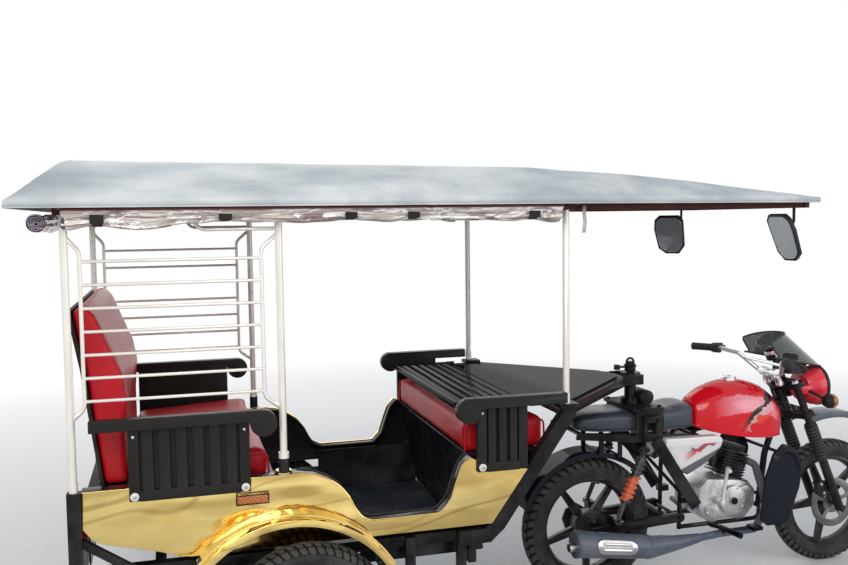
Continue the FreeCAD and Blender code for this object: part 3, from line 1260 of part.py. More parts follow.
def fork():
    """Fork legs, triple clamps, stem and front axle."""
    parts = []
    axle_up = steer_up
    for _, side in SIDES:
        y = side * d.fork_half
        foot = front_axle + LEFT * y
        parts.append(rod(foot - axle_up * 22, foot + axle_up * 262, d.fork_dia / 2))
        parts.append(rod(foot + axle_up * 262, foot + axle_up * 440, d.fork_dia / 2 + 7))
        parts.append(rod(foot + axle_up * 440, on_steer(d.head_high_z + 26, d.fork_offset, y), d.stanchion_dia / 2))
    for height in (clamp_low, d.head_high_z + 6):
        wide = d.fork_half + 26
        clamp = plan_prism(((-24, -26), (14, -wide), (60, -wide), (60, wide), (14, wide), (-24, 26)), 0, clamp_thick)
        clamp.rotate(Vector(0, 0, 0), LEFT, -d.rake)
        clamp.translate(on_steer(height))
        parts.append(clamp)
    parts.append(rod(on_steer(d.head_low_z - 20), on_steer(d.head_high_z + 36), d.stem_dia / 2))
    parts.append(rod(front_axle - LEFT * (d.fork_half + 14), front_axle + LEFT * (d.fork_half + 14), d.moto_axle_dia / 2))
    return fuse(parts)


def front_mudguard():
    """High guard over the front tyre, held by the lower clamp."""
    r = 442
    parts = [arch(((r, -58), (r + 4, -58), (r + 4, 58), (r, 58)), d.wheelbase, d.front_radius, 49, 62)]
    parts.extend(both_sides(arch(((r - 26, 55), (r + 4, 55), (r + 4, 58), (r - 26, 58)), d.wheelbase, d.front_radius,
                                 49, 62)))
    foot = [on_steer(clamp_low, ahead) - steer_up * d.gap_fit for ahead in (30, 58)]
    stay = ((foot[0].x, foot[0].z), (foot[1].x, foot[1].z), (foot[1].x + 44, foot[1].z - 32),
            (foot[0].x + 40, foot[0].z - 31))
    parts.append(side_prism(stay, -24, 24))
    return fuse(parts)


def bar_tube():
    """The bent tube of the handlebar."""
    path = [Vector(800, -392, 1030), Vector(858, -255, 1036), Vector(905, -165, 1022), Vector(962, -82, 948),
            Vector(962, 82, 948), Vector(905, 165, 1022), Vector(858, 255, 1036), Vector(800, 392, 1030)]
    return tube(path, d.bar_dia / 2, 30)


def handlebar():
    """Bent handlebar with its cross brace and two risers."""
    parts = [bar_tube(), rod(Vector(921, -142, 1002), Vector(921, 142, 1002), 7)]
    for _, side in SIDES:
        foot = on_steer(clamp_top, -8, side * 40)
        parts.append(rod(foot, foot + steer_up * 10, 19))
        parts.append(rod(foot + steer_up * 4, Vector(962, side * 40, 948), 16))
        parts.append(rod(Vector(962, side * 24, 948), Vector(962, side * 56, 948), 22))
    return fuse(parts)


def grips():
    """Grips, switch housings, levers and perches with mirror threads."""
    parts = []
    for _, side in SIDES:
        end = Vector(800, side * 392, 1030)
        inner = Vector(858, side * 255, 1036)
        run = (inner - end).normalize()
        grip = rod(end - run * 4, end + run * 118, d.grip_dia / 2)
        pod_at = end + run * 128
        pod = rod(end + run * 118, end + run * 150, 25)
        perch = rod(pod_at + run * 4 + Vector(10, 0, 0), pod_at + run * 4 + Vector(46, 0, 0), 12)
        boss = rod(pod_at + Vector(26, 0, -8), pod_at + Vector(26, 0, 22), 12)
        lever = rod(pod_at + Vector(44, 0, 0), end + run * 8 + Vector(58, 0, -4), 6)
        solid = fuse((grip, pod, perch, boss, lever))
        top = pod_at + Vector(26, 0, 22)
        thread = rod(top - UP * d.perch_depth, top + UP * 5, d.perch_thread_dia / 2)
        parts.append(solid.cut(thread).cut(bar_tube()))
    return Part.makeCompound(parts)


def headlamp():
    """Red lamp casing with a round lens, on arms to the fork."""
    at = Vector(1128, 0, 872)
    shell = turned_x(((0, 0), (0, 70), (58, 92), (92, 96), (98, 90), (98, 0)), at)
    inner = d.fork_half - d.stanchion_dia / 2 - d.gap_fit
    arms = both_sides(box(1040, 1140, inner - 9, inner, 845, 885))
    parts = [shell] + arms
    return fuse(parts)


def turned_x(profile, at):
    """Solid with an x, radius outline, turned round a lengthwise axis."""
    loop = [Vector(at.x + x, at.y, at.z + radius) for x, radius in profile]
    face = Part.Face(Part.makePolygon(loop + [loop[0]]))
    return face.revolve(at, Vector(1, 0, 0), 360)


def screen_plan(lift, inset):
    """Points of the screen's plan curve, moved back as it rises."""
    deep = d.screen_deep - inset
    half = d.screen_half - inset
    nose = d.screen_nose_x - d.screen_deep - lift * d.screen_lean
    turns = [math.radians(-90 + 20 * n) for n in range(10)]
    return [Vector(nose + deep * math.cos(turn), half * math.sin(turn), d.screen_low_z + lift) for turn in turns]


def fly_screen():
    """Smoked screen, curved round the instruments and leaning back."""
    rise = d.screen_high_z - d.screen_low_z
    loop = screen_plan(0, 0) + screen_plan(0, d.screen_thick)[::-1]
    sheet_form = Part.Face(Part.makePolygon(loop + [loop[0]])).extrude(Vector(-rise * d.screen_lean, 0, rise))
    side_view = ((1300, 952), (900, 1036), (842, 1140), (846, 1160), (1060, 1160), (1300, 1010))
    return sheet_form.common(side_prism(side_view, -200, 200))


def instruments():
    """Twin round instruments over a housing behind the headlamp."""
    parts = []
    for _, side in SIDES:
        at = on_steer(985, 66, side * 42)
        parts.append(rod(at, at + steer_up * 42, 40))
        peg = Vector(1022, side * 50, 1034)
        parts.append(rod(peg, Vector(peg.x, side * d.screen_peg_y, peg.z), 4))
    parts.append(rod(on_steer(985, 66, -50), on_steer(985, 66, 50), 12))
    parts.append(box(1020, 1122, -58, 58, 944, 1004))
    foot = on_steer(clamp_top, 46)
    parts.append(rod(foot, foot + steer_up * 8, 11))
    parts.append(rod(foot + steer_up * 4, on_steer(990, 66), 9))
    return fuse(parts)


def indicators():
    """Front indicators on short stalks."""
    parts = []
    for _, side in SIDES:
        at = Vector(1176, side * 150, 822)
        inner = d.fork_half - d.stanchion_dia / 2
        foot = Vector(1128, side * inner, 858)
        stalk = fuse((rod(foot, foot + LEFT * side * 8, 8), rod(foot + LEFT * side * 5, at, 6)))
        lamp = turned_x(((-34, 0), (-26, 22), (-6, 33), (12, 34), (28, 26), (36, 0)), at)
        parts.append(fuse((stalk, lamp)))
    return Part.makeCompound(parts)


def brake_disc():
    """Front brake disc with its carrier, on the right of the hub."""
    at = front_axle - LEFT * 56
    disc = rod(at, at + LEFT * d.disc_thick, d.disc_radius)
    disc = disc.cut(rod(at - LEFT * 5, at + LEFT * 15, d.disc_radius - 34))
    spider = rod(at, at + LEFT * d.disc_thick, 52)
    arms = []
    for n in range(5):
        arm = box(-9, 9, -56, -56 + d.disc_thick, 40, d.disc_radius - 30)
        arm.rotate(Vector(0, 0, 0), LEFT, n * 72)
        arm.translate(front_axle)
        arms.append(arm)
    return fuse([disc, spider] + arms, [rod(at - LEFT * 20, at + LEFT * 20, d.moto_axle_dia / 2 + d.pin_fit)])


piece("chassis_frame", chassis())
piece("side_steps", side_steps())
for name, side in SIDES:
    piece(f"body_side_{name}", body_side(side))
piece("floor_pan", floor_pan())
piece("seat_box_rear", rear_seat_box())
piece("seat_box_front", front_seat_box())
cushion_rear()
cushion_front()
backrest_rear()
piece("backboard", backboard())
for name, side in SIDES:
    piece(f"posts_{name}", posts(side))
arm_rear_back = -2048
arm_front_end = d.post_front_x - d.cuff_dia / 2 - d.gap_fit
for name, side in SIDES:
    rear_arm = armrest(side, d.arm_rear_z, arm_rear_back, -1490, -1490, -1930, -1538, 786, 6)
    piece(f"armrest_rear_{name}", rear_arm)
    front_arm = armrest(side, d.arm_front_z, -770, arm_front_end, -770 + 12, -724, -530, 776, 3)
    piece(f"armrest_front_{name}", front_arm)
piece("folding_backrest", folding_backrest())
piece("top_tray", top_tray())
piece("canopy", canopy())
piece("canopy_frame", canopy_frame())
piece("curtain_rolls", curtain_rolls())
piece("canopy_mirrors", canopy_mirrors())
piece("lamps", lamps())
piece("axle_and_springs", axle())
for name, side in SIDES:
    piece(f"cart_wheel_{name}", cart_wheel(side))
    tyre(f"cart_tyre_{name}", d.axle_x, side * d.wheel_y, d.cart_tyre_radius, d.cart_tyre_radius, d.cart_tyre_half,
         d.cart_rim_radius)
piece("swivel_head", swivel_head())
piece("hitch", hitch())
piece("moto_frame", moto_frame())
piece("engine", engine())
piece("fuel_tank", fuel_tank())
rider_seat()
piece("side_covers", side_covers())
piece("exhaust", exhaust())
piece("swingarm", swingarm())
piece("rear_shocks", rear_shocks())
piece("rear_mudguard", rear_mudguard())
chain_case()
piece("leg_guards", leg_guards())
piece("foot_controls", foot_controls())
piece("side_stand", side_stand())
rear_axle = Vector(0, 0, d.rear_radius)
piece("rear_wheel", cast_wheel(rear_axle, d.rear_rim_half, d.hub_half, d.drum_radius, 18))
tyre("rear_tyre", 0, 0, d.rear_radius, d.rear_radius, d.rear_tyre_half, d.moto_rim_radius)
piece("front_wheel", cast_wheel(front_axle, d.front_rim_half, 50, 0, 30))
tyre("front_tyre", d.wheelbase, 0, d.front_radius, d.front_radius, d.front_tyre_half, d.moto_rim_radius)
piece("brake_disc", brake_disc())
piece("fork", fork())
piece("front_mudguard", front_mudguard())
piece("handlebar", handlebar())
piece("grips", grips())
piece("headlamp", headlamp())
piece("fly_screen", fly_screen())
piece("instruments", instruments())
piece("indicators", indicators())

doc.recompute()
faults = []
for item in doc.Objects:
    if "Invalid" in item.State or "Error" in item.State:
        faults.append(f"{item.Name} {item.State}")
for item in pieces:
    if item.Shape.isNull() or not item.Shape.isValid():
        faults.append(f"{item.Label} shape")
if faults:
    raise RuntimeError("; ".join(faults))
for item in pieces:
    item.Shape.exportStep(f"parts/{item.Label}.step")
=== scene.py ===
"""Passenger rickshaw: the looks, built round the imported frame.

Lengths are metres, X forward, Y left, Z up. Places are written from the ground
under the motorcycle's rear axle, and Datum moves them into the frame.
"""

from __future__ import annotations

import json
import logging
import math
from dataclasses import dataclass
from enum import Enum
from typing import Any, Sequence

import bmesh
import bpy
from mathutils import Matrix, Vector, noise

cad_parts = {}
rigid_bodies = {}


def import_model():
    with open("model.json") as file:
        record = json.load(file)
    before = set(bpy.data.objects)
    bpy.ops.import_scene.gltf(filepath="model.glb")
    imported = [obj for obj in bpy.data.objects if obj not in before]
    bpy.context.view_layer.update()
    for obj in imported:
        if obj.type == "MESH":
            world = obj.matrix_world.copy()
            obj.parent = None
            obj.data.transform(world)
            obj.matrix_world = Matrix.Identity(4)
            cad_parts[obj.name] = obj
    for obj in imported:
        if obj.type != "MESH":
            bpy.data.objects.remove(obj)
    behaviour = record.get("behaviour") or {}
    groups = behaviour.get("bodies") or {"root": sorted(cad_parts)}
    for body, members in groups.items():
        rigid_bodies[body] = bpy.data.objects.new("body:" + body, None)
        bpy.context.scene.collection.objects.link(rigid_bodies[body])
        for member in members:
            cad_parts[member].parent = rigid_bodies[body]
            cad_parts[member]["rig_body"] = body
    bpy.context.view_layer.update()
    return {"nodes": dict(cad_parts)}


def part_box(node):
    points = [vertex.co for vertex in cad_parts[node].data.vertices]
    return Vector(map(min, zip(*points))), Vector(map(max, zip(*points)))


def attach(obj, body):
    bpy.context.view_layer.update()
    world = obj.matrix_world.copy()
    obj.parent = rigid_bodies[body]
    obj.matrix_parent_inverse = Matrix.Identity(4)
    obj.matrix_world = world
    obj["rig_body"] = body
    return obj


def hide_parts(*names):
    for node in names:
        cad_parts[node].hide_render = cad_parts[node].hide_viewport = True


LOG = logging.getLogger("rickshaw")
Pair = tuple[float, float]
Triple = tuple[float, float, float]
Colour = tuple[float, float, float]
Spot = tuple[Triple, Triple]
Piece = bpy.types.Object
Material = bpy.types.Material
SIDES = ((-1, "right"), (1, "left"))
UP = Vector((0, 0, 1))
WELD = 2e-5
PAD_VOXEL, PAD_PRESSURE, PAD_FRAMES, PAD_STIFF, PAD_BEND = 0.009, 3.0, 20, 25, 2
CROWN_DROP, CROWN_POWER = 0.025, 2.4

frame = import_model()


def tinted(tone: Colour, times: float, plus: float = 0.0) -> Colour:
    """Darker or paler form of a tone."""
    return tuple(channel * times + plus for channel in tone)


class Datum:
    """Where the motorcycle's rear axle stands in the frame."""

    low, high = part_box("rear_tyre")
    x = (low.x + high.x) / 2

    @classmethod
    def place(cls, point: Sequence[float]) -> Vector:
        """Moves a point from the axle's own ground point into the frame."""
        return Vector((point[0] + cls.x, point[1], point[2]))

    @classmethod
    def centre(cls, node: str) -> Vector:
        """Middle of a node's box, measured from the rear axle's ground point."""
        low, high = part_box(node)
        return (low + high) / 2 - Vector((cls.x, 0, 0))


class Value:
    """A shader number that stands in expressions."""

    def __init__(self, paint: "Paint", socket: bpy.types.NodeSocket) -> None:
        """Wraps an output socket."""
        self.paint = paint
        self.socket = socket

    def _math(self, operation: str, *terms: "Value | float", clamp: bool = False) -> "Value":
        """Adds a Math node."""
        settings = {"operation": operation, "use_clamp": clamp}
        return self.paint.value("ShaderNodeMath", settings, dict(enumerate(terms)))

    def __add__(self, other: "Value | float") -> "Value":
        """Sum."""
        return self._math("ADD", self, other)

    def __sub__(self, other: "Value | float") -> "Value":
        """Difference."""
        return self._math("SUBTRACT", self, other)

    def __rsub__(self, other: float) -> "Value":
        """Difference from a number."""
        return self._math("SUBTRACT", other, self)

    def __mul__(self, other: "Value | float") -> "Value":
        """Product."""
        return self._math("MULTIPLY", self, other)

    def __truediv__(self, other: "Value | float") -> "Value":
        """Quotient."""
        return self._math("DIVIDE", self, other)

    __radd__ = __add__
    __rmul__ = __mul__

    def power(self, exponent: float) -> "Value":
        """Power of the value."""
        return self._math("POWER", self, exponent)

    def size(self) -> "Value":
        """Value without its sign."""
        return self._math("ABSOLUTE", self)

    def wave(self) -> "Value":
        """Sine of the value."""
        return self._math("SINE", self)

    def most(self, other: "Value | float") -> "Value":
        """Larger of two."""
        return self._math("MAXIMUM", self, other)

    def line(self, wide: float, sharp: float) -> "Value":
        """1 where the value is near 0, fading out from sharp to wide."""
        return self.size().rise(wide, sharp)

    def rise(self, low: float, high: float) -> "Value":
        """Soft step from 0 at low to 1 at high."""
        return self._math("MULTIPLY", self - low, 1 / (high - low), clamp=True)


class Paint:
    """A material under construction."""

    def __init__(self, name: str, world: bpy.types.World | None = None) -> None:
        """Starts an empty node tree, for a new material unless a world is given.

        Args:
            name: the material's name.
            world: the surroundings, where they are painted.
        """
        self.material = world or bpy.data.materials.new(name)
        self.material.use_nodes = True
        self.tree = self.material.node_tree
        self.tree.nodes.clear()
        self._axes: dict[str, Value] = {}

    def node(self, kind: str, settings: dict[str, Any], inputs: dict[Any, Any]) -> bpy.types.Node:
        """Adds a node.

        Args:
            kind: the node's type.
            settings: its own settings, set first; stops are a ramp's places and colours.
            inputs: values or links for its sockets, by name or number.

        Returns:
            The node.
        """
        made = self.tree.nodes.new(kind)
        for key, setting in settings.items():
            if key == "stops":
                marks = made.color_ramp.elements
                while len(marks) < len(setting):
                    marks.new(1.0)
                for mark, (place, colour) in zip(marks, setting):
                    mark.position = place
                    mark.color = (*colour, 1.0)
            else:
                setattr(made, key, setting)
        for key, given in inputs.items():
            socket = made.inputs[key]
            if isinstance(given, Value):
                self.tree.links.new(given.socket, socket)
            elif isinstance(given, tuple) and len(given) == 3 and socket.type == "RGBA":
                socket.default_value = (*given, 1.0)
            else:
                socket.default_value = given
        return made

    def value(self, kind: str, settings: dict[str, Any], inputs: dict[Any, Any], output: Any = 0) -> Value:
        """Adds a node and wraps one of its outputs."""
        return Value(self, self.node(kind, settings, inputs).outputs[output])

    def place(self) -> Value:
        """Object coordinates, which are the frame's own.

        Returns:
            The coordinates.
        """
        if "place" not in self._axes:
            self._axes["place"] = self.value("ShaderNodeTexCoord", {}, {}, "Object")
        return self._axes["place"]

    def axis(self, name: str) -> Value:
        """One of the three coordinates, X counted from the rear axle.

        Args:
            name: X, Y or Z.

        Returns:
            The coordinate in metres.
        """
        if name not in self._axes:
            split = self.node("ShaderNodeSeparateXYZ", {}, {0: self.place()})
            for each in "XYZ":
                self._axes[each] = Value(self, split.outputs[each])
            self._axes["X"] = self._axes["X"] - Datum.x
        return self._axes[name]

    def noise(self, scale: float, detail: float = 4, rough: float = 0.5, stretch: Triple = (1, 1, 1),
              warp: float = 0.0) -> Value:
        """Cloudy noise over the frame's coordinates.

        Args:
            scale: how fine it is, in cycles a metre.
            detail: octaves.
            rough: weight of the finer octaves.
            stretch: multipliers of the three axes.
            warp: how far it is pulled about.

        Returns:
            A value about 0.5.
        """
        spot = self.value("ShaderNodeMapping", {}, {"Vector": self.place(), "Scale": stretch})
        return self.value("ShaderNodeTexNoise", {}, {"Vector": spot, "Scale": scale, "Detail": detail,
                                                     "Roughness": rough, "Distortion": warp})

    def cells(self, scale: float) -> Value:
        """Distance field of a cell pattern."""
        return self.value("ShaderNodeTexVoronoi", {}, {"Vector": self.place(), "Scale": scale}, "Distance")

    def mix(self, share: Value, first: Any, second: Any) -> Value:
        """Colour between two."""
        settings = {"data_type": "RGBA", "clamp_factor": True}
        return self.value("ShaderNodeMix", settings, {0: share, 6: first, 7: second}, 2)

    def bump(self, height: Value, depth: float) -> Value:
        """Normal from a height."""
        return self.value("ShaderNodeBump", {}, {"Height": height, "Distance": depth, "Strength": 1.0}, "Normal")

    def finish(self, varying: dict[str, Value], constants: dict[str, Any]) -> Material:
        """Ends the tree in a principled shader, its roughness held between 0 and 1.

        Args:
            varying: links of its sockets.
            constants: numbers and colours of its sockets.

        Returns:
            The material.
        """
        if "Roughness" in varying:
            varying["Roughness"] = varying["Roughness"].rise(0, 1)
        shader = self.value("ShaderNodeBsdfPrincipled", {}, {**constants, **varying})
        self.node("ShaderNodeOutputMaterial", {}, {"Surface": shader})
        return self.material


@dataclass(frozen=True)
class Finish:
    """What every finish shares: its name and its one material."""

    name: str

    def material(self) -> Material:
        """The finish's material, made once."""
        ready = bpy.data.materials.get(self.name)
        return ready if ready else self.dress(Paint(self.name))

    def dress(self, paint: Paint) -> Material:
        """Builds the node tree."""
        raise NotImplementedError


@dataclass(frozen=True)
class Lacquer(Finish):
    """Painted or powder-coated metal with dust and small chips."""

    tone: Colour
    rough: float = 0.35
    coat: float = 0.3
    dust: float = 0.25
    chips: float = 0.4
    dust_tone: Colour = (0.3, 0.26, 0.21)
    chip_tone: Colour = (0.2, 0.16, 0.13)

    def dress(self, paint: Paint) -> Material:
        """Paint with clouded tone, dust low down and chips.

        Args:
            paint: the empty material.

        Returns:
            The finished material.
        """
        cloud = paint.noise(7, 5, 0.6)
        fine = paint.noise(140, 3)
        low = (0.9 - paint.axis("Z")).rise(0.0, 0.9)
        dirt = ((cloud - 0.42) * 3).rise(0, 1) * (0.35 + low) * self.dust * (0.5 + fine)
        chip = paint.cells(55).rise(0.07, 0.03) * paint.noise(9, 2).rise(0.6, 0.66) * self.chips
        deep = tinted(self.tone, 0.72)
        base = paint.mix(cloud, deep, self.tone)
        base = paint.mix(dirt, base, self.dust_tone)
        base = paint.mix(chip, base, self.chip_tone)
        rough = self.rough + dirt * 0.5 + (fine - 0.5) * 0.08
        normal = paint.bump(fine * 0.5 + chip * -1.0, 0.0003)
        return paint.finish({"Base Color": base, "Roughness": rough, "Normal": normal},
                            {"Coat Weight": self.coat, "Coat Roughness": 0.08, "Specular IOR Level": 0.04})


@dataclass(frozen=True)
class Metal(Finish):
    """Bare or plated metal with grain, smudges and tarnish."""

    tone: Colour
    deep: Colour
    rough: float = 0.2
    grain: Triple = (1, 1, 1)
    grain_scale: float = 300
    grain_depth: float = 0.00005
    dents: float = 0.0
    metallic: float = 1.0

    def dress(self, paint: Paint) -> Material:
        """Metal with streaks along its grain.

        Args:
            paint: the empty material.

        Returns:
            The finished material.
        """
        cloud = paint.noise(5, 5, 0.55)
        streak = paint.noise(self.grain_scale, 3, 0.6, self.grain)
        wide = paint.noise(2.6, 2, 0.4, (1.0, 1.0, 1.5))
        base = paint.mix(cloud.rise(0.3, 0.7), self.deep, self.tone)
        smudge = paint.noise(22, 4, 0.7).rise(0.5, 0.75)
        rough = self.rough + smudge * 0.1 + (streak - 0.5) * 0.12
        normal = paint.bump(streak * self.grain_depth + wide * self.dents, 1.0)
        return paint.finish({"Base Color": base, "Roughness": rough, "Normal": normal},
                            {"Metallic": self.metallic})


@dataclass(frozen=True)
class GoldPanel(Finish):
    """Polished gold skin with painted reflections, whose inner faces and folded edges are black enamel."""

    skin: float = 0.5785
    tone: Colour = (0.96, 0.75, 0.31)
    deep: Colour = (0.83, 0.62, 0.21)
    # Darker gold of the painted reflections on the polish.
    painted_reflection: Colour = (0.34, 0.21, 0.055)
    black: Colour = (0.012, 0.012, 0.013)

    def dress(self, paint: Paint) -> Material:
        """Painted wavy reflections outside, enamel inside, fine scratches on both.

        Args:
            paint: the empty material.

        Returns:
            The finished material.
        """
        gold = paint.axis("Y").size().rise(self.skin - 0.001, self.skin)
        cloud = paint.noise(5, 5, 0.55)
        hair = paint.noise(160, 3, 0.6, (0.4, 3, 3))
        wide = paint.noise(3.1, 2, 0.4, (1.0, 1.0, 1.6))
        dust = paint.noise(26, 5, 0.7).rise(0.52, 0.78) * (0.75 - paint.axis("Z")).rise(0, 0.4)
        # Painted reflection: broad wavy stripes and thin wavy lines of darker gold stand in for reflections on the
        # polish.
        reflection_bands = paint.noise(1.5, 2, 0.4, (1.0, 1.0, 4.2), 1.2)
        reflection_curls = paint.noise(1.3, 0, 0.0, (1.0, 1.0, 3.4), 1.0)
        base = paint.mix(cloud.rise(0.3, 0.7), self.deep, self.tone)
        base = paint.mix(reflection_bands.rise(0.45, 0.58) * 0.5, base, self.painted_reflection)
        base = paint.mix((reflection_curls - 0.47).line(0.03, 0.01) * 0.55, base, self.painted_reflection)
        base = paint.mix((reflection_curls - 0.6).line(0.024, 0.006) * 0.4, base, self.painted_reflection)
        base = paint.mix(dust * 0.35, base, (0.42, 0.36, 0.27))
        base = paint.mix(gold, self.black, base)
        rough = 0.09 + dust * 0.22 + (hair - 0.5) * 0.08 + (1 - gold) * 0.12
        normal = paint.bump(hair * 0.00003 + wide * 0.012 * gold, 1.0)
        return paint.finish({"Base Color": base, "Roughness": rough, "Metallic": gold, "Normal": normal},
                            {"Specular IOR Level": 0.4})


@dataclass(frozen=True)
class LampGlass(Finish):
    """Amber lens at the sides and red lens at the rear."""

    rear: float = -2.0

    def dress(self, paint: Paint) -> Material:
        """Moulded prisms under a polished face.

        Args:
            paint: the empty material.

        Returns:
            The finished material.
        """
        red = paint.axis("X").rise(self.rear + 0.01, self.rear)
        prism = (paint.axis("Z") * 420).wave() * ((paint.axis("Y") + paint.axis("X")) * 420).wave()
        amber = paint.mix(prism * 0.5 + 0.5, (0.42, 0.09, 0.01), (0.85, 0.25, 0.03))
        rear = paint.mix(prism * 0.5 + 0.5, (0.26, 0.004, 0.006), (0.62, 0.012, 0.015))
        return paint.finish({"Base Color": paint.mix(red, amber, rear), "Normal": paint.bump(prism, 0.0004)},
                            {"Roughness": 0.09, "Transmission Weight": 0.35, "IOR": 1.49, "Coat Weight": 0.6})


@dataclass(frozen=True)
class Vinyl(Finish):
    """Coated cloth with a leather grain."""

    tone: Colour
    deep: Colour
    rough: float = 0.42
    grain: float = 520
    depth: float = 0.0004
    creases: float = 0.002
    sheen: float = 0.15

    def dress(self, paint: Paint) -> Material:
        """Grain cells, soft creases and rubbed places.

        Args:
            paint: the empty material.

        Returns:
            The finished material.
        """
        pores = paint.cells(self.grain)
        crease = paint.noise(14, 3, 0.6, (1, 0.6, 1.4))
        cloud = paint.noise(3.5, 4)
        worn = paint.noise(30, 4, 0.7).rise(0.52, 0.8)
        base = paint.mix(cloud.rise(0.25, 0.75), self.deep, self.tone)
        rough = self.rough + worn * 0.12 - pores * 0.1
        normal = paint.bump(pores * self.depth + crease * self.creases, 1.0)
        return paint.finish({"Base Color": base, "Roughness": rough, "Normal": normal},
                            {"Sheen Weight": self.sheen, "Sheen Roughness": 0.5, "Specular IOR Level": 0.32})


@dataclass(frozen=True)
class Plastic(Finish):
    """Moulded plastic with a fine texture and scuffs."""

    tone: Colour
    rough: float = 0.4
    texture: float = 0.0001
    coat: float = 0.0
    dust: float = 0.2
    shine: float = 0.4

    def dress(self, paint: Paint) -> Material:
        """Fine orange peel, scuffs and a little dust.

        Args:
            paint: the empty material.

        Returns:
            The finished material.
        """
        peel = paint.noise(420, 2)
        cloud = paint.noise(9, 4)
        scuff = paint.noise(60, 5, 0.75, (1, 1, 4)).rise(0.6, 0.8)
        pale = tinted(self.tone, 0.8, 0.06)
        base = paint.mix(cloud.rise(0.45, 0.9) * self.dust + scuff * 0.15, self.tone, pale)
        rough = self.rough + scuff * 0.2 + (cloud - 0.5) * 0.12
        return paint.finish({"Base Color": base, "Roughness": rough,
                             "Normal": paint.bump(peel * self.texture, 1.0)},
                            {"Coat Weight": self.coat, "Coat Roughness": 0.06, "Specular IOR Level": self.shine})


@dataclass(frozen=True)
class Rubber(Finish):
    """Tyre or grip rubber with road dust."""

    tone: Colour = (0.022, 0.022, 0.024)
    dust_tone: Colour = (0.16, 0.14, 0.12)
    dust: float = 0.5

    def wall(self, paint: Paint) -> tuple[Value, Value, Value]:
        """Clouds, specks and the dusty black that they give."""
        cloud, speck = paint.noise(11, 5, 0.65), paint.noise(260, 3, 0.7)
        return cloud, speck, paint.mix(cloud.rise(0.4, 0.85) * self.dust * (0.4 + speck), self.tone, self.dust_tone)

    def dress(self, paint: Paint) -> Material:
        """Black rubber that greys where dust sits.

        Args:
            paint: the empty material.

        Returns:
            The finished material.
        """
        _, speck, base = self.wall(paint)
        return paint.finish({"Base Color": base, "Roughness": 0.62 + (speck - 0.5) * 0.4,
                             "Normal": paint.bump(speck * 0.0004, 1.0)}, {"Specular IOR Level": 0.35})


@dataclass(frozen=True)
class Tread(Rubber):
    """Tyre rubber: dusty blocks over grooves darkened with painted shade."""

    axle: Triple = (0.0, 0.0, 0.0)
    crown: float = 0.3
    reach: float = 0.04
    depth: float = 0.006

    def dress(self, paint: Paint) -> Material:
        """Pale where the road rubs; painted shade makes the grooves black below the blocks.

        Args:
            paint: the empty material.

        Returns:
            The finished material.
        """
        x, z = paint.axis("X") - self.axle[0], paint.axis("Z") - self.axle[2]
        across = (paint.axis("Y") - self.axle[1]).size() * (1 / self.reach)
        radial = (x * x + z * z).power(0.5)
        lift = radial - self.crown + across.power(CROWN_POWER) * CROWN_DROP
        tread = radial.rise(self.crown - 0.034, self.crown - 0.03)
        top = lift.rise(-self.depth * 0.9, -self.depth * 0.25)
        cloud, speck, wall = self.wall(paint)
        block = paint.mix(cloud.rise(0.3, 0.7), (0.04, 0.037, 0.034), (0.085, 0.078, 0.07))
        base = paint.mix(tread * top, wall, block)
        # Painted shade: the grooves between the blocks are made near black.
        base = paint.mix(tread * (1 - top), base, (0.005, 0.005, 0.005))
        return paint.finish({"Base Color": base, "Roughness": 0.66 + (speck - 0.5) * 0.4,
                             "Normal": paint.bump(speck * 0.0004, 1.0)}, {"Specular IOR Level": 0.18})


@dataclass(frozen=True)
class Lens(Finish):
    """Clear or coloured lens with a moulded pattern."""

    tone: Colour
    rough: float = 0.08
    ribs: float = 260
    through: float = 0.6

    def dress(self, paint: Paint) -> Material:
        """Small prisms behind a polished face.

        Args:
            paint: the empty material.

        Returns:
            The finished material.
        """
        prism = (paint.axis("Z") * self.ribs).wave() * (paint.axis("Y") * self.ribs).wave()
        deep = tinted(self.tone, 0.55)
        base = paint.mix(prism * 0.5 + 0.5, deep, self.tone)
        return paint.finish({"Base Color": base, "Normal": paint.bump(prism, 0.0004)},
                            {"Roughness": self.rough, "Transmission Weight": self.through, "IOR": 1.49,
                             "Coat Weight": 0.6})


@dataclass(frozen=True)
class Screen(Finish):
    """Smoked clear sheet with fine scratches."""

    tone: Colour
    alpha: float = 0.8

    def dress(self, paint: Paint) -> Material:
        """See-through tint, denser where dust sits.

        Args:
            paint: the empty material.

        Returns:
            The finished material.
        """
        haze = paint.noise(18, 5, 0.7)
        dense = self.alpha + (haze - 0.5) * 0.2
        base = paint.mix(haze.rise(0.5, 0.9), self.tone, tinted(self.tone, 1, 0.06))
        return paint.finish({"Base Color": base, "Alpha": dense.rise(0, 1),
                             "Normal": paint.bump(paint.noise(4, 2), 0.002)},
                            {"Roughness": 0.05, "Coat Weight": 0.8, "Specular IOR Level": 0.7})


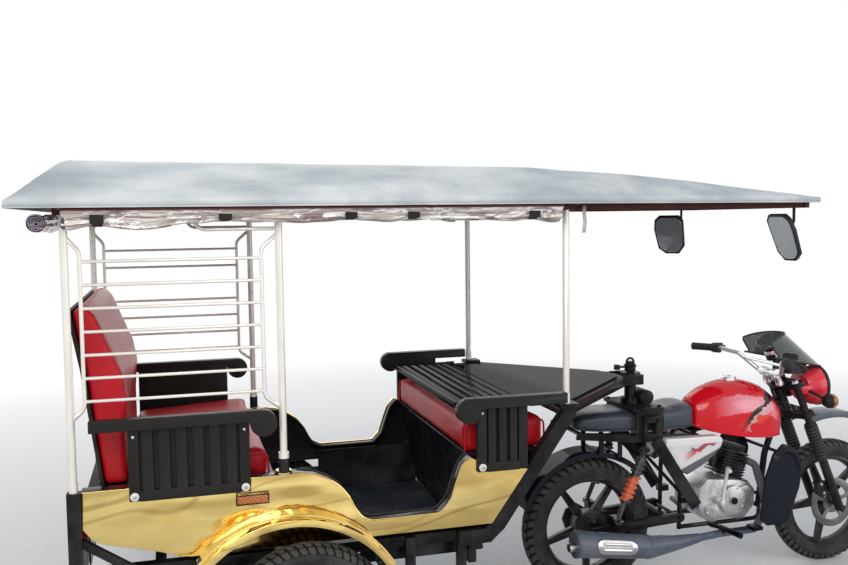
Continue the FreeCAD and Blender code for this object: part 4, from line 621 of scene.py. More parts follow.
@dataclass(frozen=True)
class RoofCloth(Finish):
    """Silver-grey coated roof cloth, weathered along its folds."""

    tone: Colour = (0.4, 0.445, 0.47)
    pale: Colour = (0.63, 0.655, 0.66)
    # Colour of the run-off stains, also the colour of the painted dappled shadow.
    stain_and_shadow: Colour = (0.25, 0.29, 0.33)

    def dress(self, paint: Paint) -> Material:
        """Weave, pale bleached fields, painted dappled shadow, run-off stains and a soft wrinkle.

        Args:
            paint: the empty material.

        Returns:
            The finished material.
        """
        warp = (paint.axis("X") * 2600).wave() * (paint.axis("Y") * 2600).wave()
        patch = paint.noise(2.4, 4, 0.55, (1, 1.6, 3))
        drip = paint.noise(5, 5, 0.6, (1.6, 0.6, 0.6))
        crease = paint.noise(7, 4, 0.6, (0.7, 1.4, 1))
        # Painted shadow: large soft dappled patches like the shadow of leaves.
        shade = paint.noise(1.7, 3, 0.5, (1.4, 1, 1))
        base = paint.mix(patch.rise(0.38, 0.62), self.tone, self.pale)
        # Painted dappled shadow darkens the cloth here.
        base = paint.mix(shade.rise(0.52, 0.66) * 0.42, base, self.stain_and_shadow)
        base = paint.mix(drip.rise(0.54, 0.8) * 0.4, base, self.stain_and_shadow)
        rough = 0.46 + drip * 0.2
        normal = paint.bump(warp * 0.00008 + crease * 0.008, 1.0)
        return paint.finish({"Base Color": base, "Roughness": rough, "Normal": normal},
                            {"Specular IOR Level": 0.3})


@dataclass(frozen=True)
class ClearFilm(Finish):
    """Rolled clear film: many thin layers that look cream and lilac, with painted highlights on its folds and painted
    shade in its darker streaks.
    """

    cream: Colour = (0.66, 0.58, 0.53)
    lilac: Colour = (0.25, 0.17, 0.18)
    # Painted highlight colour of the folds.
    white: Colour = (0.93, 0.91, 0.89)

    def dress(self, paint: Paint) -> Material:
        """Long layered streaks, their dark lilac partly painted shade, with painted highlights along the folds.

        Args:
            paint: the empty material.

        Returns:
            The finished material.
        """
        layer = paint.noise(14, 5, 0.7, (0.35, 2.2, 2.2), 0.8)
        fold = paint.noise(6, 4, 0.6, (0.7, 3, 3), 1.5)
        # Cream and dark lilac streaks: the film's tint, with painted shade in the darker ones.
        base = paint.mix(layer.rise(0.4, 0.6), self.lilac, self.cream)
        # Painted highlights along the folds.
        base = paint.mix((fold - 0.5).line(0.05, 0.015), base, self.white)
        return paint.finish({"Base Color": base, "Roughness": 0.18 + layer * 0.25,
                             "Normal": paint.bump(layer * 0.004 + fold * 0.006, 1.0)},
                            {"Coat Weight": 0.7, "Coat Roughness": 0.1})


@dataclass(frozen=True)
class TankPaint(Finish):
    """Red tank with a pale swept band, partly a graphic and partly a painted highlight, and dark and orange strokes of
    no maker.
    """

    middle: Vector
    red: Colour = (0.6, 0.006, 0.016)
    # Pink-white of the pale band, partly a painted highlight.
    pale: Colour = (0.84, 0.36, 0.42)
    black: Colour = (0.015, 0.013, 0.015)
    orange: Colour = (0.75, 0.06, 0.02)
    silver: Colour = (0.5, 0.48, 0.5)

    def dress(self, paint: Paint) -> Material:
        """Strokes and a pale band, partly a painted highlight, in side view, drawn from the tank's own middle.

        Args:
            paint: the empty material.

        Returns:
            The finished material.
        """
        x = paint.axis("X") - self.middle.x
        z = paint.axis("Z") - self.middle.z
        ragged = paint.noise(16, 3, 0.6, (1, 0.2, 1.6)) - 0.5
        curve = z + x * x * 1.6 - 0.035 + ragged * 0.05
        # Pale swept band along the side: partly a graphic and partly a painted highlight.
        highlight_sweep = curve.line(0.042, 0.034) * x.rise(-0.14, 0.0) * x.rise(0.19, 0.15)
        slash = (z - x * 0.8 + 0.055 + ragged * 0.1).line(0.019, 0.015) * x.rise(-0.02, 0.03)
        slash = slash * x.rise(0.205, 0.19) * z.rise(-0.1, -0.07)
        edge = (z + x * 1.6 - 0.33 + ragged * 0.05).line(0.015, 0.01) * z.rise(-0.05, -0.01)
        slash = slash.most(edge)
        glint = (z - x * 0.8 + 0.086 + ragged * 0.12).line(0.01, 0.007) * x.rise(0.0, 0.04) * x.rise(0.16, 0.13)
        flame = (z + 0.052 - x * 0.18 + ragged * 0.07).line(0.014, 0.009)
        flame = flame * x.rise(-0.04, 0.02) * x.rise(0.17, 0.12)
        fleck = paint.noise(600, 2, 0.8)
        base = paint.mix(fleck.rise(0.3, 0.8), self.red, tinted(self.red, 1.25))
        base = paint.mix(highlight_sweep * 0.85, base, self.pale)
        base = paint.mix(flame, base, self.orange)
        base = paint.mix(glint * 0.8, base, self.silver)
        base = paint.mix(slash, base, self.black)
        return paint.finish({"Base Color": base, "Roughness": 0.16 + ragged * 0.1},
                            {"Coat Weight": 0.45, "Coat Roughness": 0.03, "Specular IOR Level": 0.15})


@dataclass(frozen=True)
class CoverPaint(Finish):
    """Side cover: pale upper band, silver field with red strokes, dark foot."""

    middle: Vector
    white: Colour = (0.74, 0.71, 0.72)
    silver: Colour = (0.52, 0.5, 0.51)
    red: Colour = (0.58, 0.012, 0.02)
    dark: Colour = (0.075, 0.078, 0.085)

    def dress(self, paint: Paint) -> Material:
        """Bands that follow the cover's upper edge.

        Args:
            paint: the empty material.

        Returns:
            The finished material.
        """
        x = paint.axis("X") - self.middle.x
        z = paint.axis("Z") - self.middle.z
        ragged = paint.noise(20, 3, 0.6, (1, 0.2, 1.8)) - 0.5
        top = z.rise(0.05, 0.054)
        foot = (z - x * 0.42 + 0.012).rise(-0.012, -0.018)
        stroke = (z - x * 0.5 - 0.018 + ragged * 0.06).line(0.017, 0.012) * x.rise(-0.06, 0.0)
        scratch = (z - x * 0.2 - 0.03 + ragged * 0.09).line(0.007, 0.004) * x.rise(-0.05, -0.02)
        base = paint.mix(paint.noise(6, 2).rise(0.3, 0.7), self.silver, self.white)
        base = paint.mix(stroke, base, self.red)
        base = paint.mix(scratch * x.rise(0.12, 0.09), base, self.dark)
        base = paint.mix(foot, base, self.dark)
        base = paint.mix(top, base, self.white)
        return paint.finish({"Base Color": base, "Roughness": 0.24 + ragged * 0.15},
                            {"Coat Weight": 0.7, "Coat Roughness": 0.06})


@dataclass(frozen=True)
class SplitMetal(Finish):
    """Two metals that meet along a slanted plane, such as a barrel on its case."""

    lower: Colour
    upper: Colour
    height: float
    slope: float
    ahead: float
    rough: float = 0.42
    speck: float = 0.0004
    lower_metal: float = 0.9
    upper_metal: float = 0.4

    def dress(self, paint: Paint) -> Material:
        """Sand-cast skin, oily and dusty in patches.

        Args:
            paint: the empty material.

        Returns:
            The finished material.
        """
        line = paint.axis("Z") - self.height + (paint.axis("X") - self.ahead) * self.slope
        share = line.rise(-0.004, 0.004)
        cast = paint.noise(330, 4, 0.7)
        oil = paint.noise(13, 5, 0.65)
        dull = tinted(self.lower, 0.6)
        base = paint.mix(oil.rise(0.3, 0.6), dull, self.lower)
        base = paint.mix(share, base, self.upper)
        rough = self.rough + (oil - 0.5) * 0.35
        return paint.finish({"Base Color": base, "Roughness": rough, "Metallic": share * self.upper_metal
                             + (1 - share) * self.lower_metal,
                             "Normal": paint.bump(cast * self.speck, 1.0)}, {"Specular IOR Level": 0.5})


@dataclass(frozen=True)
class SpringPaint(Finish):
    """Rear shock: black upper coils and ends, orange lower coils."""

    low: float
    high: float

    def dress(self, paint: Paint) -> Material:
        """Colours that change with height.

        Args:
            paint: the empty material.

        Returns:
            The finished material.
        """
        z = paint.axis("Z")
        black = (0.02, 0.02, 0.022)
        share = z.rise(self.low, self.low + 0.003) * z.rise(self.high, self.high - 0.003)
        dust = paint.noise(90, 4, 0.7)
        base = paint.mix(share, black, (0.62, 0.11, 0.03))
        base = paint.mix(dust.rise(0.5, 0.8) * 0.25, base, (0.3, 0.26, 0.22))
        return paint.finish({"Base Color": base, "Roughness": 0.3 + dust * 0.25},
                            {"Coat Weight": 0.3})


GOLD = GoldPanel("polished_gold")
GOLD_TRIM = Metal("gold_trim", (0.8, 0.6, 0.27), (0.64, 0.45, 0.17), 0.12, (0.5, 4, 4), 120, 0.00002)
BLACK = Lacquer("black_enamel", (0.01, 0.01, 0.012), 0.3, 0.3, 0.12)
FRAME_BLACK = Lacquer("chassis_black", (0.01, 0.01, 0.012), 0.4, 0.16, 0.18)
FLOOR_BLACK = Lacquer("floor_black", (0.01, 0.012, 0.018), 0.26, 0.26, 0.16)
GLOSS = Plastic("gloss_black", (0.006, 0.006, 0.007), 0.16, 0.00003, 0.2, 0.02, 0.0)
SATIN = Plastic("satin_black", (0.019, 0.018, 0.017), 0.38, 0.00012, 0.14, 0.07, 0.06)
CREAM = Metal("cream_steel", (0.84, 0.81, 0.75), (0.74, 0.7, 0.63), 0.22, (1, 1, 0.3), 160, 0.00001, 0.0, 0.25)
RED_VINYL = Vinyl("red_vinyl", (0.58, 0.008, 0.018), (0.42, 0.004, 0.01), 0.4, 520, 0.0003, 0.002, 0.0)
SEAT_VINYL = Vinyl("seat_vinyl", (0.052, 0.06, 0.082), (0.03, 0.035, 0.05), 0.26, 620, 0.0003, 0.0015, 0.05)
ROOF_STEEL = Lacquer("roof_steel", (0.1, 0.04, 0.036), 0.5, 0.0, 0.2)
LAMPS = LampGlass("lamp_glass")
ROOF = RoofCloth("roof_cloth")
LINING = Vinyl("maroon_lining", (0.13, 0.022, 0.02), (0.08, 0.014, 0.013), 0.6, 700, 0.0002)
FILM = ClearFilm("clear_film")
LILAC = ClearFilm("film_edges", (0.3, 0.22, 0.3), (0.2, 0.14, 0.22), (0.55, 0.47, 0.56))
# Dark mauve of the discs behind the roll ends' spirals: painted shade between the turns.
ROLL_END_SHADE = Vinyl("roll_end_shade", (0.085, 0.06, 0.095), (0.05, 0.034, 0.06), 0.5, 400, 0.0002)
STRAP = Vinyl("strap_web", (0.05, 0.05, 0.042), (0.03, 0.03, 0.026), 0.7, 900, 0.0003, 0.0004, 0.0)
THREAD = Vinyl("pale_thread", (0.55, 0.57, 0.55), (0.42, 0.44, 0.42), 0.8, 2500, 0.0001, 0.0, 0.1)
TAPE = Vinyl("cotton_tape", (0.62, 0.6, 0.56), (0.5, 0.48, 0.44), 0.8, 1400, 0.0003, 0.0003, 0.1)
GRIP = Rubber("grip_rubber", (0.018, 0.018, 0.018), (0.12, 0.11, 0.1), 0.25)
CHROME = Metal("chrome", (0.86, 0.87, 0.88), (0.7, 0.71, 0.73), 0.07, (1, 1, 1), 200, 0.00001)
STEEL = Metal("steel", (0.6, 0.6, 0.6), (0.4, 0.39, 0.38), 0.3, (1, 6, 1), 300, 0.00004)
SHIELD = Metal("shield_chrome", (0.58, 0.58, 0.57), (0.44, 0.44, 0.44), 0.22, (0.4, 3, 3), 180, 0.00002)
RIBBED = Lacquer("ribbed_mat", (0.02, 0.027, 0.042), 0.22, 0.55, 0.12)
ALLOY_BLACK = Lacquer("alloy_black", (0.01, 0.011, 0.013), 0.3, 0.34, 0.18)
DISC = Metal("disc_steel", (0.22, 0.21, 0.205), (0.14, 0.135, 0.13), 0.36, (1, 1, 1), 500, 0.00003)
LEVERS = SplitMetal("lever_metal", (0.014, 0.014, 0.016), (0.66, 0.67, 0.68), 0.34, 0.0, 0.0, 0.3, 0.0002)
# Black of the silencer's bore: soot, with painted shade of the hollow.
SOOT_AND_SHADE = Rubber("soot_and_shade", (0.01, 0.009, 0.008), (0.04, 0.036, 0.03), 0.4)
MUFFLER = Lacquer("muffler_grey", (0.095, 0.115, 0.165), 0.34, 0.36, 0.3)
GUARD = Plastic("guard_blue_grey", (0.085, 0.1, 0.125), 0.34, 0.0001, 0.2, 0.3)
GUARD_BLACK = Plastic("guard_black", (0.014, 0.016, 0.023), 0.24, 0.00008, 0.22, 0.06, 0.0)
LAMP_RED = Plastic("lamp_red", (0.62, 0.012, 0.02), 0.14, 0.00003, 1.0, 0.1)
AMBER = Lens("amber_lens", (0.9, 0.26, 0.02))
CLEAR_LENS = Lens("clear_lens", (0.85, 0.87, 0.88), 0.03, 160, 0.85)
SMOKE = Screen("smoked_screen", (0.012, 0.032, 0.026))
MIRROR = Metal("mirror_glass", (0.5, 0.53, 0.56), (0.4, 0.43, 0.46), 0.04, (1, 1, 1), 40, 0.0, 0.0, 0.55)
SPRING = SpringPaint("spring_paint", 0.46, 0.56)
ENGINE = SplitMetal("engine_metal", (0.66, 0.67, 0.68), (0.022, 0.022, 0.024), 0.478, 0.287, 0.706)
DARK_WOOD = Lacquer("dark_board", (0.03, 0.022, 0.018), 0.5, 0.1, 0.4)


class Shape:
    """A mesh under construction, measured from the rear axle's ground point."""

    def __init__(self) -> None:
        """Starts empty."""
        self.mesh = bmesh.new()

    def face(self, corners: Sequence[bmesh.types.BMVert]) -> None:
        """Adds a face unless it is there already."""
        if len(set(corners)) > 2 and self.mesh.faces.get(corners) is None:
            self.mesh.faces.new(corners)

    def skin(self, rings: Sequence[Sequence[Vector]], closed: bool = True, loop: bool = False,
             caps: bool = True) -> "Shape":
        """Joins rings of points into a surface.

        Args:
            rings: rings with equal numbers of points.
            closed: whether each ring closes on itself.
            loop: whether the last ring joins the first.
            caps: whether the end rings are filled.

        Returns:
            The shape.
        """
        rows = [[self.mesh.verts.new(point) for point in ring] for ring in rings]
        count = len(rows[0])
        pairs = list(zip(rows, rows[1:])) + ([(rows[-1], rows[0])] if loop else [])
        for near, far in pairs:
            for n in range(count if closed else count - 1):
                m = (n + 1) % count
                self.face((near[n], near[m], far[m], far[n]))
        if caps and closed and not loop:
            self.face(list(reversed(rows[0])))
            self.face(rows[-1])
        return self

    def pipe(self, path: Sequence[Triple], radius: float | Sequence[float], sides: int = 12) -> "Shape":
        """Round rod along a path.

        Args:
            path: points of its centre line.
            radius: its radius, or one for each point.
            sides: corners of its section.

        Returns:
            The shape.
        """
        points = [Vector(point) for point in path]
        radii = [radius] * len(points) if isinstance(radius, (int, float)) else list(radius)
        runs = [(b - a).normalized() for a, b in zip(points, points[1:])]
        side = runs[0].orthogonal().normalized()
        rings = []
        for n, point in enumerate(points):
            run = (runs[max(n - 1, 0)] + runs[min(n, len(runs) - 1)]).normalized()
            side = (side - run * side.dot(run)).normalized()
            other = run.cross(side)
            rings.append([point + (side * math.cos(turn) + other * math.sin(turn)) * radii[n]
                          for turn in (k * math.tau / sides for k in range(sides))])
        return self.skin(rings)

    def turn(self, profile: Sequence[Pair], centre: Triple, run: Triple, steps: int = 24) -> "Shape":
        """Surface turned round an axis.

        Args:
            profile: distances along the axis and radii.
            centre: where the axis starts.
            run: direction of the axis.
            steps: divisions of a full turn.

        Returns:
            The shape.
        """
        axis = Vector(run).normalized()
        side = axis.orthogonal().normalized()
        other = axis.cross(side)
        rings = []
        for n in range(steps):
            turn = math.tau * n / steps
            out = side * math.cos(turn) + other * math.sin(turn)
            rings.append([Vector(centre) + axis * along + out * radius for along, radius in profile])
        return self.skin(rings, closed=False, loop=True, caps=False)

    def prism(self, outline: Sequence[Pair], low: float, high: float, across: str = "Y") -> "Shape":
        """Flat outline with a thickness.

        Args:
            outline: corners in the plane of the other two axes, in the order X, Y, Z.
            low: where the thickness starts.
            high: where it ends.
            across: axis of the thickness.

        Returns:
            The shape.
        """
        place = {"X": lambda u, v, w: Vector((w, u, v)), "Y": lambda u, v, w: Vector((u, w, v)),
                 "Z": lambda u, v, w: Vector((u, v, w))}[across]
        return self.skin([[place(u, v, w) for u, v in outline] for w in (low, high)])

    def block(self, low: Triple, high: Triple) -> "Shape":
        """Box between two corners.

        Args:
            low: its lowest corner.
            high: its highest corner.

        Returns:
            The shape.
        """
        x0, y0, z0 = low
        x1, y1, z1 = high
        return self.prism(((x0, y0), (x1, y0), (x1, y1), (x0, y1)), z0, z1, "Z")

    def mirror(self) -> "Shape":
        """Adds the mirror image on the other side of the middle.

        Returns:
            The shape.
        """
        copy = bmesh.ops.duplicate(self.mesh, geom=self.mesh.verts[:] + self.mesh.edges[:] + self.mesh.faces[:])
        twins = [item for item in copy["geom"] if isinstance(item, bmesh.types.BMVert)]
        faces = [item for item in copy["geom"] if isinstance(item, bmesh.types.BMFace)]
        for vert in twins:
            vert.co.y = -vert.co.y
        bmesh.ops.reverse_faces(self.mesh, faces=faces)
        return self

    def make(self, name: str, finish: Finish, body: str, bevel: float = 0.0, angle: float = 38.0,
             merge: float = 1e-5) -> Piece:
        """Ends the shape as a piece of the object.

        Args:
            name: the piece's name.
            finish: what it is made of.
            body: the frame's body that it rides on.
            bevel: width of its rounded edges.
            angle: edges sharper than this stay sharp.
            merge: distance within which points join.

        Returns:
            The piece.
        """
        bmesh.ops.remove_doubles(self.mesh, verts=self.mesh.verts, dist=merge)
        bmesh.ops.recalc_face_normals(self.mesh, faces=self.mesh.faces)
        for vert in self.mesh.verts:
            vert.co.x += Datum.x
        return dressed(written(self.mesh, name), name, finish, body, bevel, angle)


def rounded_path(corners: Sequence[Triple], bend: float, steps: int = 5) -> list[Vector]:
    """Path whose corners are rounded.

    Args:
        corners: corner points.
        bend: length cut back at each corner.
        steps: points in each bend.

    Returns:
        Points of the rounded path.
    """
    points = [Vector(corner) for corner in corners]
    path = [points[0]]
    for before, corner, after in zip(points, points[1:], points[2:]):
        back = (before - corner).normalized() * min(bend, (before - corner).length * 0.49)
        ahead = (after - corner).normalized() * min(bend, (after - corner).length * 0.49)
        for n in range(steps + 1):
            t = n / steps
            path.append(corner + back * (1 - t) ** 2 + ahead * t ** 2)
    path.append(points[-1])
    return path


def rounded_loop(corners: Sequence[Vector], bend: float) -> list[Vector]:
    """Closed outline with rounded corners, given without the first corner repeated."""
    return rounded_path([corners[-1], *corners, corners[0]], bend, 4)[1:-1]


def placed(name: str, data: bpy.types.ID) -> Piece:
    """Makes an object and links it to the scene.

    Args:
        name: the object's name.
        data: its mesh, lamp or camera.

    Returns:
        The object.
    """
    made = bpy.data.objects.new(name, data)
    bpy.context.scene.collection.objects.link(made)
    return made


def baked(piece: Piece) -> bpy.types.Mesh:
    """Mesh of a piece with its modifiers worked in."""
    graph = bpy.context.evaluated_depsgraph_get()
    return bpy.data.meshes.new_from_object(piece.evaluated_get(graph))


def walled(piece: Piece, thickness: float) -> bpy.types.Modifier:
    """Gives a sheet its thickness.

    Args:
        piece: the sheet.
        thickness: depth below its face.

    Returns:
        The modifier.
    """
    wall = piece.modifiers.new("wall", "SOLIDIFY")
    wall.thickness = thickness
    return wall


def copied(node: str) -> bmesh.types.BMesh:
    """A node's own faces, their doubled points merged.

    Args:
        node: the frame's node.

    Returns:
        The mesh, to be worked on.
    """
    work = bmesh.new()
    work.from_mesh(frame["nodes"][node].data)
    bmesh.ops.remove_doubles(work, verts=work.verts, dist=WELD)
    return work


def written(work: bmesh.types.BMesh, name: str) -> bpy.types.Mesh:
    """Ends a mesh that was worked on.

    Args:
        work: the mesh, which is used up.
        name: name of its data.

    Returns:
        The data.
    """
    data = bpy.data.meshes.new(name)
    work.to_mesh(data)
    work.free()
    return data


def body_of(node: str) -> str:
    """Body that a node rides on."""
    return frame["nodes"][node]["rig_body"]


def dressed(data: bpy.types.Mesh, name: str, finish: Finish, body: str, bevel: float = 0.0,
            angle: float = 38.0) -> Piece:
    """Turns mesh data into a piece with its finish.

    Args:
        data: the mesh, in the frame.
        name: the piece's name.
        finish: what it is made of.
        body: the frame's body that it rides on.
        bevel: width of its rounded edges.
        angle: edges sharper than this stay sharp, in degrees.

    Returns:
        The piece.
    """
    piece = placed(name, data)
    data.materials.clear()
    data.materials.append(finish.material())
    for polygon in data.polygons:
        polygon.use_smooth = True
    if bevel:
        edge = piece.modifiers.new("edges", "BEVEL")
        edge.width = bevel
        edge.segments = 2
        edge.limit_method = "ANGLE"
        edge.angle_limit = math.radians(angle)
        edge.harden_normals = True
        edge.use_clamp_overlap = True
    else:
        data.set_sharp_from_angle(angle=math.radians(angle))
    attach(piece, body)
    LOG.info("%s on %s", name, body)
    return piece


def refined(node: str, finish: Finish, bevel: float = 0.0012, angle: float = 38.0) -> Piece:
    """Piece with a node's own faces, merged, with rounded edges.

    Args:
        node: the frame's node that it stands for.
        finish: what it is made of.
        bevel: width of its rounded edges.
        angle: edges sharper than this are rounded, in degrees.

    Returns:
        The piece.
    """
    work = copied(node)
    bmesh.ops.dissolve_limit(work, angle_limit=math.radians(0.6), verts=work.verts, edges=work.edges)
    name = node + "_skin"
    piece = dressed(written(work, name), name, finish, body_of(node), bevel, angle)
    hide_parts(node)
    return piece


def moulded(node: str, finish: Finish, voxel: float = 0.004, rounds: int = 14) -> Piece:
    """Piece with a node's own form, its edges flowed together as in a pressing.

    Args:
        node: the frame's node that it stands for.
        finish: what it is made of.
        voxel: size of the new mesh.
        rounds: how often the surface is evened out.

    Returns:
        The piece.
    """
    holder = placed(node + "_raw", written(copied(node), node + "_raw"))
    remesh = holder.modifiers.new("voxels", "REMESH")
    remesh.mode = "VOXEL"
    remesh.voxel_size = voxel
    flow = holder.modifiers.new("flow", "SMOOTH")
    flow.factor = 0.5
    flow.iterations = rounds
    smooth = baked(holder)
    bpy.data.objects.remove(holder)
    piece = dressed(smooth, node + "_skin", finish, body_of(node), angle=60)
    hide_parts(node)
    return piece


class StudTree:
    """Geometry Nodes tree that sets a small form on every point of a list."""

    given = {"Geometry": "Geometry", "Form": "Object", "Size": "Float", "Spin": "Float", "Finish": "Material"}
    kinds = {"start": "NodeGroupInput", "end": "NodeGroupOutput", "facing": "GeometryNodeInputNamedAttribute",
             "turn": "FunctionNodeAlignRotationToVector", "angle": "FunctionNodeRandomValue",
             "roll": "FunctionNodeAxisAngleToRotation", "join": "FunctionNodeRotateRotation",
             "info": "GeometryNodeObjectInfo", "put": "GeometryNodeInstanceOnPoints",
             "real": "GeometryNodeRealizeInstances", "dress": "GeometryNodeSetMaterial"}
    # Columns: a node and its output, then the node and the input that it feeds.
    links = (("start", "Form", "info", "Object"), ("start", "Geometry", "put", "Points"),
             ("info", "Geometry", "put", "Instance"), ("facing", 0, "turn", "Vector"), ("start", "Spin", "angle", 3),
             ("angle", 1, "roll", "Angle"), ("turn", 0, "join", 0), ("roll", 0, "join", 1),
             ("join", 0, "put", "Rotation"), ("start", "Size", "put", "Scale"), ("put", 0, "real", 0),
             ("real", 0, "dress", "Geometry"), ("start", "Finish", "dress", "Material"), ("dress", 0, "end", 0))

    def __init__(self, name: str) -> None:
        """Builds the tree with its named inputs.

        Args:
            name: the tree's name.
        """
        self.group = bpy.data.node_groups.new(name, "GeometryNodeTree")
        face = self.group.interface
        self.sockets = {key: face.new_socket(key, in_out="INPUT", socket_type="NodeSocket" + kind).identifier
                        for key, kind in self.given.items()}
        face.new_socket("Geometry", in_out="OUTPUT", socket_type="NodeSocketGeometry")
        made = {key: self.group.nodes.new(kind) for key, kind in self.kinds.items()}
        made["facing"].data_type = "FLOAT_VECTOR"
        made["facing"].inputs["Name"].default_value = "facing"
        made["turn"].axis = "Z"
        made["angle"].data_type = "FLOAT"
        made["angle"].inputs["Seed"].default_value = 7
        made["join"].rotation_space = "LOCAL"
        for source, output, target, socket in self.links:
            self.group.links.new(made[source].outputs[output], made[target].inputs[socket])

    def spread(self, name: str, spots: Sequence[Spot], form: Piece, finish: Finish,
               body: str, size: float = 1.0, spin: float = math.tau) -> Piece:
        """Sets the form on the spots and keeps the result as a plain mesh.

        Args:
            name: the piece's name.
            spots: places and the directions that they face.
            form: the small form, standing on its origin along Z.
            finish: what it is made of.
            body: the frame's body that it rides on.
            size: scale of the form.
            spin: largest random turn about its own axis.

        Returns:
            The piece.
        """
        cloud = bpy.data.meshes.new(name)
        cloud.from_pydata([Datum.place(place) for place, _ in spots], [], [])
        facing = cloud.attributes.new("facing", "FLOAT_VECTOR", "POINT")
        facing.data.foreach_set("vector", [part for _, way in spots for part in way])
        holder = placed(name + "_spots", cloud)
        setter = holder.modifiers.new("studs", "NODES")
        setter.node_group = self.group
        for key, value in (("Form", form), ("Size", size), ("Spin", spin), ("Finish", finish.material())):
            setter[self.sockets[key]] = value
        data = baked(holder)
        bpy.data.objects.remove(holder)
        return dressed(data, name, finish, body)


class Stud(Enum):
    """Small forms that repeat over the vehicle."""

    HEX = "hex"
    DOME = "dome"
    WASHER = "washer"
    STITCH_ALONG = "stitch_along"
    STITCH_ACROSS = "stitch_across"
    RIB = "rib"


class StudBox:
    """Keeps one hidden form for each kind of stud."""

    def __init__(self) -> None:
        """Makes the forms and the tree."""
        self.tree = StudTree("studs")
        self.forms = {kind: self._form(kind) for kind in Stud}

    def _form(self, kind: Stud) -> Piece:
        """Builds one form, a unit of its radius.

        Args:
            kind: which stud.

        Returns:
            The hidden object.
        """
        shape = Shape()
        up = UP
        if kind is Stud.HEX:
            shape.turn(((0, 0), (0, 1.35), (0.18, 1.35), (0.18, 0)), (0, 0, 0), up, 14)
            shape.turn(((0.18, 1.0), (0.75, 1.0), (0.85, 0.88), (0.85, 0)), (0, 0, 0), up, 6)
        elif kind is Stud.DOME:
            shape.turn(((0, 1.0), (0.22, 0.95), (0.45, 0.72), (0.58, 0.38), (0.62, 0)), (0, 0, 0), up, 12)
        elif kind is Stud.STITCH_ALONG:
            shape.pipe(((-1.0, 0, -0.1), (-0.6, 0, 0.22), (0.6, 0, 0.22), (1.0, 0, -0.1)), 0.22, 5)
        elif kind is Stud.STITCH_ACROSS:
            shape.pipe(((0, -1.0, -0.1), (0, -0.6, 0.22), (0, 0.6, 0.22), (0, 1.0, -0.1)), 0.22, 5)
        elif kind is Stud.RIB:
            shape.prism(((-0.008, 0.0), (-0.005, 0.0034), (0.005, 0.0034), (0.008, 0.0)), -0.5, 0.5, "X")
        else:
            shape.turn(((0, 1.0), (0.12, 1.0), (0.12, 0.62), (0.32, 0.58), (0.38, 0.45), (0.38, 0)), (0, 0, 0), up, 18)
        return bpy.data.objects.new(kind.value + "_form", written(shape.mesh, kind.value))

    def put(self, name: str, kind: Stud, spots: Sequence[Spot], radius: float, finish: Finish,
            body: str, spin: float = math.tau) -> Piece:
        """Spreads studs."""
        return self.tree.spread(name, spots, self.forms[kind], finish, body, radius, spin)


def swell(piece: Piece, cap: float) -> None:
    """Remeshes a pad and lets cloth pressure fill it.

    Args:
        piece: the pad, in place.
        cap: farthest that a point may move.
    """
    remesh = piece.modifiers.new("voxels", "REMESH")
    remesh.mode = "VOXEL"
    remesh.voxel_size = PAD_VOXEL
    remesh.use_smooth_shade = True
    data = baked(piece)
    piece.modifiers.remove(remesh)
    piece.data = data
    before = [vert.co.copy() for vert in data.vertices]
    cloth = piece.modifiers.new("cloth", "CLOTH")
    settings = cloth.settings
    settings.quality = 4
    settings.use_pressure = True
    settings.uniform_pressure_force = PAD_PRESSURE
    settings.effector_weights.gravity = 0
    settings.tension_stiffness = settings.compression_stiffness = PAD_STIFF
    settings.bending_stiffness = PAD_BEND
    cloth.point_cache.frame_start = 1
    cloth.point_cache.frame_end = PAD_FRAMES
    scene = bpy.context.scene
    for step in range(1, PAD_FRAMES + 1):
        scene.frame_set(step)
    swollen = baked(piece)
    piece.modifiers.remove(cloth)
    for vert, start in zip(swollen.vertices, before):
        move = vert.co - start
        if move.length > cap:
            vert.co = start + move.normalized() * cap
    piece.data = swollen
    scene.frame_set(1)


@dataclass
class Cushion:
    """A bench cushion or backrest: padded block with rounded edges."""

    node: str
    name: str
    outline: Sequence[Pair]
    half: float
    inset: float = 0.006
    round_: float = 0.022
    finish: Finish = RED_VINYL

    def build(self) -> Piece:
        """Builds the pad from its side outline and swells it.

        Returns:
            The pad.
        """
        middle = Vector((sum(x for x, _ in self.outline), 0, sum(z for _, z in self.outline))) / len(self.outline)
        inner = []
        for x, z in self.outline:
            out = Vector((x - middle.x, 0, z - middle.z)).normalized()
            inner.append((x - out.x * self.inset, z - out.z * self.inset))
        shape = Shape().prism(inner, -self.half + self.inset, self.half - self.inset, "Y")
        piece = shape.make(self.name, self.finish, body_of(self.node))
        edge = piece.modifiers.new("round", "BEVEL")
        edge.width = self.round_
        edge.segments = 4
        edge.limit_method = "ANGLE"
        piece.data = baked(piece)
        piece.modifiers.remove(edge)
        return self.padded(piece)

    def padded(self, piece: Piece) -> Piece:
        """Swells a block into a pad and sets it in its node's place.

        Args:
            piece: the block.

        Returns:
            The pad.
        """
        swell(piece, self.inset)
        for polygon in piece.data.polygons:
            polygon.use_smooth = True
        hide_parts(self.node)
        return piece


